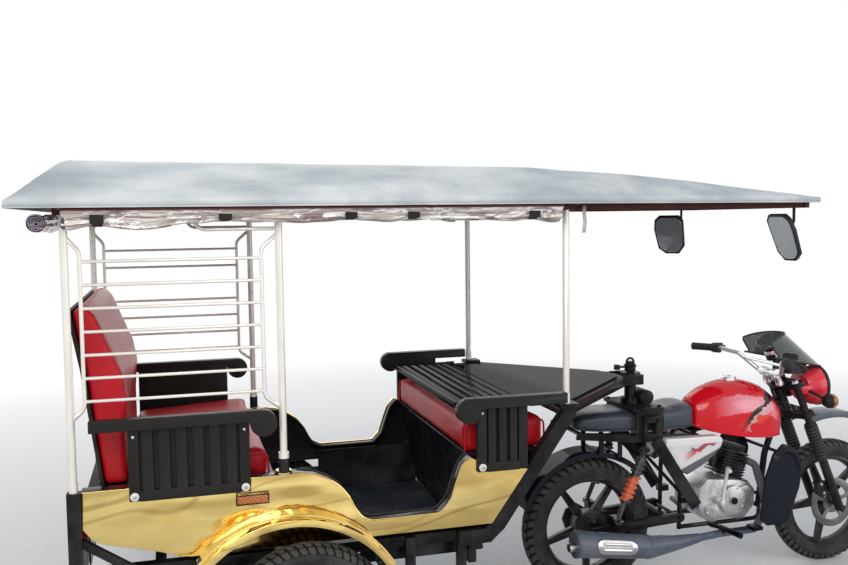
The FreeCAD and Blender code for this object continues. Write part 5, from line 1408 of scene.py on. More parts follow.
@dataclass
class LongSeat(Cushion):
    """Motorcycle seat: a pad with round shoulders over its whole length."""

    # Columns: x, half width, foot, top.
    sections: Sequence[tuple[float, float, float, float]] = (
        (-0.106, 0.07, 0.778, 0.8), (-0.101, 0.098, 0.772, 0.814), (-0.08, 0.114, 0.765, 0.826),
        (-0.04, 0.119, 0.761, 0.832), (0.02, 0.12, 0.756, 0.835), (0.18, 0.12, 0.744, 0.835),
        (0.3, 0.12, 0.74, 0.835), (0.38, 0.118, 0.739, 0.836), (0.44, 0.11, 0.738, 0.845),
        (0.48, 0.098, 0.739, 0.846), (0.497, 0.084, 0.741, 0.838), (0.506, 0.066, 0.752, 0.818))

    def build(self) -> Piece:
        """Builds the pad.

        Returns:
            The pad.
        """
        rings = []
        for x, half, low, top in self.sections:
            ring = []
            for n in range(36):
                turn = math.tau * n / 36
                u, v = math.cos(turn), math.sin(turn)
                power = 0.52 if v > 0 else 0.22
                y = math.copysign(abs(u) ** power, u) * half
                z = (low + top) / 2 + math.copysign(abs(v) ** power, v) * (top - low) / 2
                ring.append(Vector((x, y, z)))
            rings.append(ring)
        piece = Shape().skin(rings).make(self.name, self.finish, body_of(self.node))
        return self.padded(piece)


def piping(name: str, path: Sequence[Triple], radius: float, finish: Finish, body: str) -> Piece:
    """Round welt along a seam and along its mirror image."""
    return Shape().pipe(path, radius, 8).mirror().make(name, finish, body)


@dataclass
class Benches:
    """Red cushions, their welts and the black boxes under them."""

    seat_half: float = 0.5
    rear_front: float = -1.46
    rear_back: float = -1.941
    rear_low: float = 0.8003
    rear_top: float = 0.9003
    front_back: float = -0.745
    front_nose: float = -0.412
    front_low: float = 0.8203
    front_top: float = 0.9413

    def build(self) -> None:
        """Builds the three pads and the boards that carry them."""
        Cushion("cushion_rear", "rear_cushion", ((self.rear_front, self.rear_low), (self.rear_back, self.rear_low),
                                                 (self.rear_back, self.rear_top - 0.03),
                                                 (self.rear_front, self.rear_top)), self.seat_half).build()
        Cushion("cushion_front", "front_cushion", ((self.front_back, self.front_low),
                                                   (self.front_nose, self.front_low),
                                                   (self.front_nose, self.front_top),
                                                   (self.front_back, self.front_top)), self.seat_half).build()
        back = ((-1.9413, 0.81), (-1.9413, 0.97), (-1.929, 1.099), (-1.942, 1.19), (-2.03, 1.4),
                (-2.056, 1.428), (-2.084, 1.428), (-2.099, 1.41), (-2.064, 1.215), (-2.011, 0.81))
        Cushion("backrest_rear", "rear_backrest", back, self.seat_half, round_=0.012).build()
        self.welts()
        refined("backboard", DARK_WOOD)
        for board in ("seat_box_rear", "seat_box_front", "floor_pan"):
            refined(board, FLOOR_BLACK)

    def welts(self) -> None:
        """Piping round the ends and along the front edges of the pads."""
        half = self.seat_half - 0.003
        top = self.rear_top - 0.012
        rear = rounded_path(((self.rear_back + 0.02, half, top - 0.028), (self.rear_front - 0.012, half, top),
                             (self.rear_front - 0.005, half, self.rear_low + 0.01)), 0.02)
        piping("rear_cushion_welt", rear, 0.004, RED_VINYL, "carriage")
        top = self.front_top - 0.012
        front = rounded_path(((self.front_back + 0.006, half, self.front_low + 0.01),
                              (self.front_back + 0.01, half, top), (self.front_nose - 0.01, half, top),
                              (self.front_nose - 0.006, half, self.front_low + 0.01)), 0.02)
        piping("front_cushion_welt", front, 0.004, RED_VINYL, "carriage")


@dataclass
class Tyre:
    """A tyre with its tread cut into the crown."""

    node: str
    name: str
    radius: float
    half: float
    rim: float
    pitches: int
    depth: float = 0.006

    def section(self) -> list[Pair]:
        """Cross points and radii from bead to bead.

        Returns:
            The section.
        """
        half = self.half
        key = ((half - 0.012, self.rim), (half - 0.005, self.rim + 0.012), (half, self.rim + 0.036),
               (half - 0.001, self.radius - 0.04), (half - 0.006, self.radius - 0.025))
        crown = []
        reach = half - 0.006
        for n in range(1, 24):
            share = n / 24
            y = reach * math.cos(math.pi * share)
            drop = CROWN_DROP * abs(y / reach) ** CROWN_POWER
            crown.append((-y, self.radius - drop))
        left = [(-y, r) for y, r in key]
        return left + crown + [(y, r) for y, r in reversed(key)]

    def groove(self, y: float, turn: float) -> float:
        """Depth of the tread pattern.

        Args:
            y: place across, as a share of the half width.
            turn: place round, in pitches.

        Returns:
            From 0 on a block to 1 in a groove.
        """
        ring = 0.5 < abs(y) < 0.6
        slant = (turn + abs(y) * 0.9 + (0.5 if y > 0 else 0)) % 1.0
        cut = slant < 0.3 and abs(y) > 0.14
        return 1.0 if ring or cut else 0.0

    def build(self) -> Piece:
        """Builds the ring with its tread.

        Returns:
            The piece.
        """
        centre = Datum.centre(self.node)
        section = self.section()
        steps = self.pitches * 8
        rings = []
        for n in range(steps):
            turn = math.tau * n / steps
            ring = []
            for y, radius in section:
                r = radius
                if radius > self.radius - 0.03:
                    r -= self.depth * self.groove(y / self.half, n / 8)
                ring.append(Vector((centre.x + r * math.cos(turn), centre.y + y, centre.z + r * math.sin(turn))))
            rings.append(ring)
        shape = Shape().skin(rings, closed=True, loop=True, caps=False)
        rubber = Tread(self.name + "_rubber", axle=tuple(centre), crown=self.radius, reach=self.half - 0.006,
                       depth=self.depth)
        piece = shape.make(self.name, rubber, body_of(self.node), angle=32)
        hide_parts(self.node)
        return piece


@dataclass
class Canopy:
    """Hipped roof cloth over its frame, with a stitched hem."""

    studs: StudBox
    back: float = -2.26
    shoulder: float = -0.3
    nose: float = 0.82
    half: float = 0.682
    nose_half: float = 0.5
    top_half: float = 0.4
    top_back: float = -2.115
    top_front: float = -0.42
    hem_low: float = 1.746
    hem_top: float = 1.772
    rear_height: float = 1.912
    kink_height: float = 1.893
    nose_arch: float = 0.038
    bows: Sequence[float] = (-2.103, -1.421, -0.9, -0.361)
    bow_reach: float = 0.26
    nose_hang: float = 0.35
    sag: float = 0.007
    fold_round: float = 0.016
    ripple: float = 0.0022

    def width(self, x: float) -> float:
        """Half width at a place along the roof.

        Args:
            x: place along the roof.

        Returns:
            The half width.
        """
        if x <= self.shoulder:
            return self.half
        return self.half + (self.nose_half - self.half) * (x - self.shoulder) / (self.nose - self.shoulder)

    def ridge(self, x: float) -> float:
        """Half width of the upper face at a place along the roof.

        Args:
            x: place along the roof.

        Returns:
            The half width of its upper face.
        """
        if x <= self.top_front:
            return self.top_half
        return self.top_half + (self.nose_half - self.top_half) * (x - self.top_front) / (self.nose - self.top_front)

    def crown(self, x: float) -> float:
        """Height of the upper face at a place along the roof.

        Args:
            x: place along the roof.

        Returns:
            The height above the ground.
        """
        if x > self.top_front:
            share = (x - self.top_front) / (self.nose - self.top_front)
            return self.kink_height + (self.hem_top - self.kink_height) * share
        share = (x - self.top_back) / (self.top_front - self.top_back)
        return self.rear_height + (self.kink_height - self.rear_height) * share

    def height(self, x: float, y: float) -> float:
        """Height of the cloth.

        Args:
            x: place along the roof.
            y: place across.

        Returns:
            Height above the ground.
        """
        crown = self.crown(x)
        run = max(self.width(x) - self.ridge(x), 0.02)
        side = self.hem_top + (self.width(x) - abs(y)) * (crown - self.hem_top) / run
        rear = self.hem_top + (x - self.back) * (self.rear_height - self.hem_top) / (self.top_back - self.back)
        low = crown
        for other in (side, rear):
            share = max(self.fold_round - abs(low - other), 0.0) / self.fold_round
            low = min(low, other) - share * share * self.fold_round / 4
        nearest = min(abs(x - bow) for bow in self.bows)
        hang = min(nearest / self.bow_reach, 1.0) if x < self.shoulder else self.nose_hang
        slack = self.sag * hang * (0.6 + 0.4 * math.cos(y * 7))
        ahead = min(max((x - self.top_front) / (self.nose - self.top_front), 0.0), 1.0)
        flat = max(1 - (y / self.ridge(x)) ** 2, 0.0)
        slack -= (0.004 + self.nose_arch * math.sin(math.pi * ahead) ** 0.9) * flat
        ripple = noise.noise(Vector((x * 5.5, y * 9, 3.1))) * self.ripple
        edge = min((low - self.hem_top) / 0.03, 1.0)
        return low + (ripple - slack) * max(edge, 0.0)

    def build(self) -> None:
        """Builds the cloth, its hem and welt, and the frame below."""
        columns = 132
        rows = 52
        rings = []
        for n in range(columns + 1):
            x = self.back + (self.nose - self.back) * n / columns
            wide = self.width(x)
            row = [Vector((x, wide * (2 * m / rows - 1), 0)) for m in range(rows + 1)]
            rings.append([Vector((p.x, p.y, self.height(p.x, p.y))) for p in row])
        shape = Shape().skin(rings, closed=False, caps=False)
        rim = [Vector(p) for p in self.rim(columns, rows)]
        lower = []
        for n, point in enumerate(rim):
            sway = noise.noise(Vector((point.x * 6, point.y * 6, 0))) * 0.002
            lower.append(Vector((point.x, point.y, self.hem_low + 0.001 + sway * 0.5)))
        shape.skin([rim, lower], closed=True, caps=False)
        cloth = shape.make("roof_cloth_sheet", ROOF, "carriage", angle=55)
        cloth.data.materials.append(LINING.material())
        wall = walled(cloth, 0.0035)
        wall.material_offset = 1
        wall.material_offset_rim = 0
        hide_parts("canopy")
        self.welt(rim)
        refined("canopy_frame", ROOF_STEEL, 0.001)

    def rim(self, columns: int, rows: int) -> list[Triple]:
        """Points round the hem's upper edge, in order.

        Args:
            columns: divisions along.
            rows: divisions across.

        Returns:
            The points.
        """
        spots: list[Triple] = []
        length = self.nose - self.back
        for n in range(columns + 1):
            x = self.back + length * n / columns
            spots.append((x, -self.width(x), self.height(x, self.width(x))))
        for m in range(1, rows + 1):
            y = self.nose_half * (2 * m / rows - 1)
            spots.append((self.nose, y, self.height(self.nose, y)))
        for n in range(columns - 1, -1, -1):
            x = self.back + length * n / columns
            spots.append((x, self.width(x), self.height(x, self.width(x))))
        for m in range(rows - 1, 0, -1):
            y = self.half * (2 * m / rows - 1)
            spots.append((self.back, y, self.height(self.back, y)))
        return spots

    def welt(self, rim: Sequence[Vector]) -> None:
        """Corded edge along the hem's foot and a stitched line above it.

        Args:
            rim: points of the hem's upper edge.
        """
        path = [(p.x, p.y, self.hem_low + 0.0025) for p in rim[::2]]
        path.append(path[0])
        Shape().pipe(path, 0.0022, 6).make("roof_hem_welt", ROOF, "carriage")
        height = self.hem_low + 0.008
        along: list[Spot] = []
        pitch = 0.011
        for n in range(int((self.nose - self.back) / pitch)):
            x = self.back + pitch * (n + 0.5)
            for way, _ in SIDES:
                along.append(((x, way * (self.width(x) + 0.0004), height), (0, way, 0)))
        across: list[Spot] = []
        for x, half, way in ((self.back, self.half, -1), (self.nose, self.nose_half, 1)):
            for n in range(int(2 * half / pitch)):
                across.append(((x + way * 0.0004, -half + pitch * (n + 0.5), height), (way, 0, 0)))
        self.studs.put("hem_stitches", Stud.STITCH_ALONG, along, 0.0032, THREAD, "carriage", 0.0)
        self.studs.put("hem_end_stitches", Stud.STITCH_ACROSS, across, 0.0032, THREAD, "carriage", 0.0)


@dataclass
class FilmRolls:
    """Rolled clear curtains that hang from the hem by straps with buckles."""

    radius: float = 0.033
    height: float = 1.7
    across: float = 0.6188
    top: float = 1.741
    back: float = -2.1
    front: float = -0.41
    rear_x: float = -2.186
    rear_half: float = 0.543
    straps: Sequence[float] = (-1.995, -1.6, -1.184, -0.965, -0.517)
    # Columns: place along the side, height of the film's lower edge.
    lower: Sequence[Pair] = ((-2.1, 1.676), (-2.02, 1.684), (-1.86, 1.672), (-1.7, 1.69), (-1.56, 1.699),
                             (-1.38, 1.692), (-1.18, 1.696), (-1.06, 1.688), (-0.94, 1.697), (-0.76, 1.694),
                             (-0.56, 1.69), (-0.41, 1.684))

    def foot(self, x: float) -> float:
        """Height of the side film's lower edge.

        Args:
            x: place along the side.

        Returns:
            The height, eased between the table's rows.
        """
        for (x0, z0), (x1, z1) in zip(self.lower, self.lower[1:]):
            if x <= x1:
                share = min(max((x - x0) / (x1 - x0), 0.0), 1.0)
                return z0 + (z1 - z0) * share * share * (3 - 2 * share)
        return self.lower[-1][1]

    def bundle(self, start: Vector, end: Vector, ties: Sequence[float], seed: float, side_roll: bool) -> Shape:
        """One roll: crumpled layers that bulge between its ties.

        Args:
            start: one end of its centre line.
            end: the other end.
            ties: places of its straps, as lengths from its start.
            seed: moves its folds.
            side_roll: whether its lower edge follows the table.

        Returns:
            The shape.
        """
        run = end - start
        along = run.normalized()
        side = UP.cross(along).normalized()
        steps, sides = 190, 34
        rings = []
        for n in range(steps + 1):
            share = n / steps
            near = min(abs(share * run.length - tie) for tie in ties)
            squeeze = 0.74 + 0.26 * math.sin(min(near / 0.09, 1.0) * math.pi / 2)
            spot = start + run * share
            low = self.foot(spot.x) if side_roll else self.height - self.radius * 0.8
            tall = (self.top - low) / 2 if side_roll else self.radius * 0.92
            middle = Vector((spot.x, spot.y, (self.top + low) / 2 if side_roll else self.height))
            ring = []
            for k in range(sides):
                turn = math.tau * k / sides
                u, v = math.cos(turn), math.sin(turn)
                fold = noise.noise(Vector((share * run.length * 3.2, u * 2.6 + seed, v * 2.6)))
                pleat = noise.noise(Vector((share * run.length * 13, u * 1.3 + seed * 2, v * 3.4)))
                line = abs(noise.noise(Vector((share * run.length * 1.6 + seed, turn * 2.6, 4.0))))
                swell_ = squeeze * (0.93 + fold * 0.26 + pleat * 0.17 - max(0.12 - line, 0.0) * 1.5)
                out = side * u * self.radius * 0.95 * swell_ + UP * v * tall * swell_
                ring.append(middle + out)
            rings.append(ring)
        return Shape().skin(rings)

    def spiral(self, centre: Vector, way: Vector, radius: float) -> Shape:
        """Wound end that shows on a roll.

        Args:
            centre: middle of its end.
            way: direction that the end faces.
            radius: radius of its outer turn.

        Returns:
            The shape.
        """
        side = UP.cross(way).normalized()
        shape = Shape()
        path = []
        for n in range(110):
            turn = n * 0.2
            reach = 0.003 + (radius - 0.003) * n / 109
            out = side * math.cos(turn) + UP * math.sin(turn)
            path.append(centre + out * reach + way * (0.008 - 0.006 * n / 109))
        shape.pipe(path, 0.003, 8)
        return shape

    def build(self) -> None:
        """Builds both side rolls, the rear roll, their ends with discs of painted shade, heads and straps."""
        length = self.front - self.back
        ties = [x - self.back for x in self.straps]
        shape = Shape()
        ends = Shape()
        end_shade_discs = Shape()
        for way, _ in SIDES:
            start = Vector((self.back, way * self.across, self.height))
            merge_into(shape, self.bundle(start, start + Vector((length, 0, 0)), ties, way * 3.0, True))
            for x, face in ((self.back, -1), (self.front, 1)):
                middle = Vector((x, way * self.across, (self.top + self.foot(x)) / 2))
                reach = (self.top - self.foot(x)) * 0.42
                merge_into(ends, self.spiral(middle, Vector((face, 0, 0)), reach))
                # Dark disc behind each spiral: painted shade between its turns.
                end_shade_discs.turn(((0.0, 0.0), (0.0, reach + 0.002), (-0.01, reach + 0.002)), middle, (face, 0, 0), 28)
        start = Vector((self.rear_x, -self.rear_half, self.height))
        end = start + Vector((0, self.rear_half * 2, 0))
        merge_into(shape, self.bundle(start, end, (0.123, self.rear_half, self.rear_half * 2 - 0.123), 9.0, False))
        for spot, way in ((start, -1), (end, 1)):
            merge_into(ends, self.spiral(spot, Vector((0, way, 0)), self.radius * 0.84))
            end_shade_discs.turn(((0.0, 0.0), (0.0, self.radius * 0.88), (-0.01, self.radius * 0.88)), spot, (0, way, 0), 28)
        rolls = shape.make("film_rolls", FILM, "carriage", angle=70)
        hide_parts("curtain_rolls")
        ends.make("film_roll_ends", LILAC, "carriage", angle=60)
        # Discs of painted shade at the roll ends.
        end_shade_discs.make("film_roll_cores", ROLL_END_SHADE, "carriage")
        self.heads()
        self.tie_down()

    def heads(self) -> None:
        """Flat upper part of each curtain, from the hem down to its roll, with a maroon binding."""
        film = Shape()
        binding = Shape()
        steps = 220
        for way, _ in SIDES:
            rows = []
            band = []
            for n in range(steps + 1):
                x = self.back + (self.front - self.back) * n / steps
                wave = noise.noise(Vector((x * 9, way * 2.0, 0.5))) * 0.004
                ripple = noise.noise(Vector((x * 26, way * 2.0, 1.5))) * 0.0022
                down = ((0.667 + wave, 1.744), (0.66 + wave + ripple, 1.733), (0.65 - ripple, 1.722),
                        (0.642 + ripple, 1.712))
                rows.append([Vector((x, way * y, z)) for y, z in down])
                band.append([Vector((x, way * y, z)) for y, z in ((0.67 + wave, 1.745), (0.669 + wave, 1.737))])
            film.skin(rows, closed=False, caps=False)
            binding.skin(band, closed=False, caps=False)
        for shape, name, finish in ((film, "film_heads", FILM), (binding, "film_bindings", LINING)):
            walled(shape.make(name, finish, "carriage", angle=60), 0.0012)

    def tie_down(self) -> None:
        """Straps round the rolls, with black buckles, and a loose tie."""
        band = Shape()
        buckle = Shape()
        for way, _ in SIDES:
            for x in self.straps:
                low = self.foot(x)
                tall = (self.top - low) / 2 * 0.9
                middle = (self.top + low) / 2
                loop = []
                for k in range(25):
                    turn = math.pi * (0.5 + 2 * k / 24)
                    loop.append((self.across * way + self.radius * 0.9 * math.cos(turn),
                                 middle + tall * math.sin(turn)))
                for (y0, z0), (y1, z1) in zip(loop, loop[1:]):
                    band.skin([[Vector((x - 0.015, y0, z0)), Vector((x + 0.015, y0, z0))],
                               [Vector((x - 0.015, y1, z1)), Vector((x + 0.015, y1, z1))]], closed=False, caps=False)
                out = way * (self.across + self.radius * 0.9)
                buckle.block((x - 0.021, min(out, out + way * 0.005), middle - 0.016),
                             (x + 0.021, max(out, out + way * 0.005), middle + 0.014))
        walled(band.make("roll_straps", STRAP, "carriage"), 0.0016)
        buckle.make("roll_buckles", SATIN, "carriage", 0.0015)
        tail = Shape()
        path = ((-0.3, -0.6035, 1.742), (-0.302, -0.6045, 1.715), (-0.298, -0.604, 1.68), (-0.303, -0.6045, 1.64))
        tail.skin([[Vector((x - 0.007, y, z)), Vector((x + 0.007, y, z))] for x, y, z in path], closed=False,
                  caps=False)
        walled(tail.make("loose_tie", TAPE, "carriage"), 0.0014)


def merge_into(target: Shape, part: Shape) -> None:
    """Moves one shape's faces into another.

    Args:
        target: the shape that grows.
        part: the shape that is used up.
    """
    data = written(part.mesh, "part")
    target.mesh.from_mesh(data)
    bpy.data.meshes.remove(data)


@dataclass
class Bodywork:
    """Chassis, gold body sides, posts, armrests and tray."""

    studs: StudBox
    skin: float = 0.58

    def build(self) -> None:
        """Dresses the carriage's metal and adds its bolts and trim."""
        refined("chassis_frame", FRAME_BLACK, 0.0015)
        refined("side_steps", FRAME_BLACK, 0.0015)
        for _, name in SIDES:
            refined("body_side_" + name, GOLD, 0.0015, 30)
            refined("posts_" + name, CREAM, 0.0, 30)
            refined("armrest_rear_" + name, SATIN, 0.003)
            refined("armrest_front_" + name, SATIN, 0.003)
        refined("top_tray", GLOSS, 0.0015)
        refined("folding_backrest", GLOSS, 0.0015)
        refined("lamps", LAMPS, 0.002)
        self.bolts()
        self.edging()
        self.sockets()
        self.floor_ribs()
        self.lamp_rims()

    def floor_ribs(self) -> None:
        """Ribbed mat on the footwell's floor."""
        spots = [((-1.057, -0.44 + 0.022 * n, 0.4462), (0.0, 0.0, 1.0)) for n in range(41)]
        rib = self.studs.forms[Stud.RIB]
        for vert in rib.data.vertices:
            vert.co.x *= 0.76
        self.studs.put("floor_ribs", Stud.RIB, spots, 1.0, RIBBED, "carriage", 0.0)

    def lamp_rims(self) -> None:
        """Black rim round each amber side marker."""
        shape = Shape()
        for way, _ in SIDES:
            y = way * 0.6005
            corners = ((-1.5865, y, 0.7395), (-1.4785, y, 0.7395), (-1.4785, y, 0.7705), (-1.5865, y, 0.7705),
                       (-1.5865, y, 0.7395))
            shape.pipe(corners, 0.0028, 8)
        shape.make("marker_rims", SATIN, "carriage")

    def bolts(self) -> None:
        """Pale washered bolts at the feet of the armrest panels."""
        spots: list[Spot] = []
        for way, _ in SIDES:
            for x, z in ((-1.913, 0.802), (-1.555, 0.802), (-0.706, 0.793)):
                spots.append(((x, way * (self.skin + 0.025), z), (0, way, 0)))
        self.studs.put("panel_washers", Stud.WASHER, spots, 0.014, CREAM, "carriage")
        self.studs.put("panel_bolts", Stud.HEX, [((p[0], p[1] + w[1] * 0.003, p[2]), w) for p, w in spots], 0.0065,
                       STEEL, "carriage")
        small: list[Spot] = []
        for way, _ in SIDES:
            for x in (-1.913, -1.555, -0.706):
                small.append(((x, way * (self.skin + 0.025), 1.0 if x < -1 else 0.992), (0, way, 0)))
        self.studs.put("panel_screws", Stud.DOME, small, 0.006, STEEL, "carriage")

    def edging(self) -> None:
        """Black rubber edging along the body side's top and the sill."""
        y = self.skin - 0.002
        path = rounded_path(((-1.372, y, 0.826), (-1.316, y, 0.817), (-1.268, y, 0.796), (-1.228, y, 0.767),
                             (-1.196, y, 0.727), (-1.174, y, 0.681), (-1.152, y, 0.65), (-1.116, y, 0.633),
                             (-0.864, y, 0.633), (-0.822, y, 0.676), (-0.8, y, 0.743), (-0.778, y, 0.801),
                             (-0.747, y, 0.831)), 0.012, 3)
        piping("sill_edging", [(p.x, p.y - 0.056, p.z) for p in path], 0.004, GRIP, "carriage")
        piping("sill_bead", [(p.x, p.y, p.z) for p in path], 0.003, GOLD_TRIM, "carriage")

    def sockets(self) -> None:
        """Black sleeves and gold flanges at the feet of the middle posts."""
        shape = Shape()
        for way, _ in SIDES:
            y = way * 0.573
            shape.turn(((0, 0.0182), (0.05, 0.0182), (0.054, 0.0165), (0.054, 0.0128)), (-1.421, y, 0.833),
                       UP, 24)
        shape.make("post_sleeves", BLACK, "carriage")
        rings = Shape()
        for way, _ in SIDES:
            rings.turn(((0, 0.031), (0.006, 0.031), (0.01, 0.026), (0.01, 0.019)), (-1.421, way * 0.551, 0.826),
                       UP, 28)
        rings.make("post_flanges", GOLD_TRIM, "carriage")


@dataclass
class CartRunning:
    """Carriage wheels, tyres, axle and springs."""

    def build(self) -> None:
        """Dresses the running gear."""
        for _, name in SIDES:
            Tyre("cart_tyre_" + name, "cart_tyre_tread_" + name, 0.3, 0.045, 0.212, 58, 0.004).build()
            refined("cart_wheel_" + name, CHROME, 0.0, 30)
        refined("axle_and_springs", FRAME_BLACK, 0.001)


@dataclass
class Tank:
    """Fuel tank as one smooth skin through its sections, with a rolled seam."""

    # Columns: x, half width, base, shoulder, crown.
    sections: Sequence[tuple[float, float, float, float, float]] = (
        (0.512, 0.07, 0.724, 0.79, 0.858), (0.6, 0.108, 0.7, 0.8, 0.906), (0.73, 0.136, 0.676, 0.8, 0.931),
        (0.86, 0.138, 0.664, 0.79, 0.906), (0.952, 0.112, 0.664, 0.76, 0.842))
    steer_foot: Triple = (1.2547, 0.0, 0.2864)
    steer_up: Triple = (-0.3875, 0.0, 0.9219)
    mouth: float = 0.0755
    seam: float = 0.003

    def section(self, x: float) -> list[float]:
        """Numbers of the section at one place, eased between the table's rows.

        Args:
            x: place along the tank.

        Returns:
            Half width, base, shoulder and crown.
        """
        rows = self.sections
        n = max(k for k in range(len(rows) - 1) if x >= rows[k][0] - 1e-9)
        before, start, end, after = rows[max(n - 1, 0)], rows[n], rows[n + 1], rows[min(n + 2, len(rows) - 1)]
        run = end[0] - start[0]
        t = (x - start[0]) / run
        found = []
        for k in range(1, 5):
            leave = (end[k] - before[k]) / (end[0] - before[0]) * run
            arrive = (after[k] - start[k]) / (after[0] - start[0]) * run
            found.append((2 * t ** 3 - 3 * t ** 2 + 1) * start[k] + (t ** 3 - 2 * t ** 2 + t) * leave
                         + (3 * t ** 2 - 2 * t ** 3) * end[k] + (t ** 3 - t ** 2) * arrive)
        return found

    def ring(self, x: float, close: float) -> list[Vector]:
        """Outline at one place.

        Args:
            x: place along the tank.
            close: how far the section is drawn in, 1 for not at all.

        Returns:
            Points, once round.
        """
        half, low, shoulder, top = self.section(x)
        lip = half + self.seam - 0.004
        side = [(0.0, low + 0.004), (0.5 * half, low + 0.004), (0.86 * half, low + 0.006),
                (half - 0.004, low + 0.007), (lip, low + 0.009), (lip, low + 0.013), (half - 0.004, low + 0.015)]
        for share in (0.15, 0.3, 0.45, 0.6, 0.75, 0.9):
            side.append((half - 0.0045 * (1 - share) ** 2, low + 0.015 + (shoulder - low - 0.015) * share))
        for n in range(1, 15):
            turn = math.pi / 2 * n / 14
            side.append((half * math.cos(turn) ** 0.95, shoulder + (top - shoulder) * math.sin(turn) ** 1.15))
        middle = (low + shoulder) / 2
        ring = [Vector((x, y * close, middle + (z - middle) * (0.25 + 0.75 * close))) for y, z in side]
        return ring + [Vector((p.x, -p.y, p.z)) for p in reversed(ring[1:-1])]

    def build(self) -> None:
        """Builds the skin and presses the steering's hollow into its front."""
        back, front = self.sections[0][0], self.sections[-1][0]
        stations = [(back, 0.0), (back, 0.7), (back + 0.002, 0.86), (back + 0.006, 0.95), (back + 0.013, 0.99)]
        stations += [(back + 0.022 + (front - back - 0.05) * n / 56, 1.0) for n in range(57)]
        stations += [(front - 0.018, 0.99), (front - 0.009, 0.95), (front - 0.003, 0.86), (front, 0.7), (front, 0.0)]
        rings = [self.ring(x, close) for x, close in stations]
        foot, up = Vector(self.steer_foot), Vector(self.steer_up)
        for ring in rings:
            for point in ring:
                out = point - foot
                out -= up * out.dot(up)
                if out.length < self.mouth:
                    point += out.normalized() * (self.mouth - out.length)
        skin = Shape().skin(rings, caps=False).make("tank_skin", TankPaint("tank_paint", Datum.centre("fuel_tank")),
                                                    "motorcycle", angle=50, merge=1e-4)
        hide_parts("fuel_tank")


@dataclass
class Motorcycle:
    """The motorcycle that pulls the carriage."""

    studs: StudBox
    # Columns: node, finish, width of its rounded edges, angle from which an edge is rounded.
    behind: Sequence[tuple[str, Finish, float, float]] = (
        ("engine", ENGINE, 0.001, 38), ("moto_frame", BLACK, 0.0, 35), ("hitch", FRAME_BLACK, 0.0015, 38),
        ("swivel_head", FRAME_BLACK, 0.0015, 38), ("swingarm", BLACK, 0.001, 38), ("rear_shocks", SPRING, 0.0, 30),
        ("exhaust", MUFFLER, 0.0, 30), ("rear_mudguard", GUARD_BLACK, 0.0, 38), ("chain_case", BLACK, 0.004, 38))
    ahead: Sequence[tuple[str, Finish, float, float]] = (
        ("foot_controls", LEVERS, 0.001, 38), ("side_stand", FRAME_BLACK, 0.001, 38), ("fork", BLACK, 0.0012, 38),
        ("front_mudguard", GUARD, 0.001, 38), ("handlebar", CHROME, 0.0, 30), ("grips", GRIP, 0.001, 38),
        ("headlamp", LAMP_RED, 0.002, 38), ("instruments", SATIN, 0.002, 38), ("indicators", SATIN, 0.001, 38),
        ("brake_disc", DISC, 0.0005, 38), ("rear_wheel", ALLOY_BLACK, 0.0015, 38),
        ("front_wheel", ALLOY_BLACK, 0.0015, 38), ("canopy_mirrors", SATIN, 0.002, 38))

    def build(self) -> None:
        """Builds every part of the motorcycle."""
        Tank().build()
        moulded("side_covers", CoverPaint("cover_paint", Datum.centre("side_covers")), 0.003, 16)
        for row in self.behind:
            refined(*row)
        moulded("leg_guards", GUARD_BLACK, 0.004, 16)
        for row in self.ahead:
            refined(*row)
        Tyre("rear_tyre", "rear_tyre_tread", 0.309, 0.05, 0.222, 46, 0.007).build()
        Tyre("front_tyre", "front_tyre_tread", 0.3, 0.042, 0.222, 52, 0.005).build()
        self.seat()

    def seat(self) -> None:
        """Long padded seat with a seam across and a welt along its foot."""
        LongSeat("rider_seat", "long_seat", (), 0.12, finish=SEAT_VINYL, inset=0.004).build()
        welt = rounded_path(((-0.098, 0.09, 0.78), (-0.07, 0.115, 0.771), (-0.02, 0.12, 0.764),
                             (0.226, 0.1205, 0.75), (0.44, 0.111, 0.745), (0.494, 0.086, 0.748)), 0.03)
        piping("seat_welt", welt, 0.0028, SEAT_VINYL, "motorcycle")
        seam = rounded_path(((0.322, 0.12, 0.752), (0.326, 0.1185, 0.8), (0.33, 0.1, 0.829),
                             (0.331, 0.06, 0.835), (0.331, 0.0, 0.836)), 0.016)
        piping("seat_seam", seam, 0.002, SEAT_VINYL, "motorcycle")


def circled(centre: Triple, radius: float, count: int, first: float, way: float) -> list[Spot]:
    """Places of bolts in a circle on a side face.

    Args:
        centre: its middle.
        radius: its radius.
        count: number of bolts.
        first: angle of the first one.
        way: side that they face.

    Returns:
        Each place with its facing.
    """
    turns = [first + math.tau * n / count for n in range(count)]
    x, y, z = centre
    return [((x + radius * math.cos(turn), y, z + radius * math.sin(turn)), (0.0, way, 0.0)) for turn in turns]


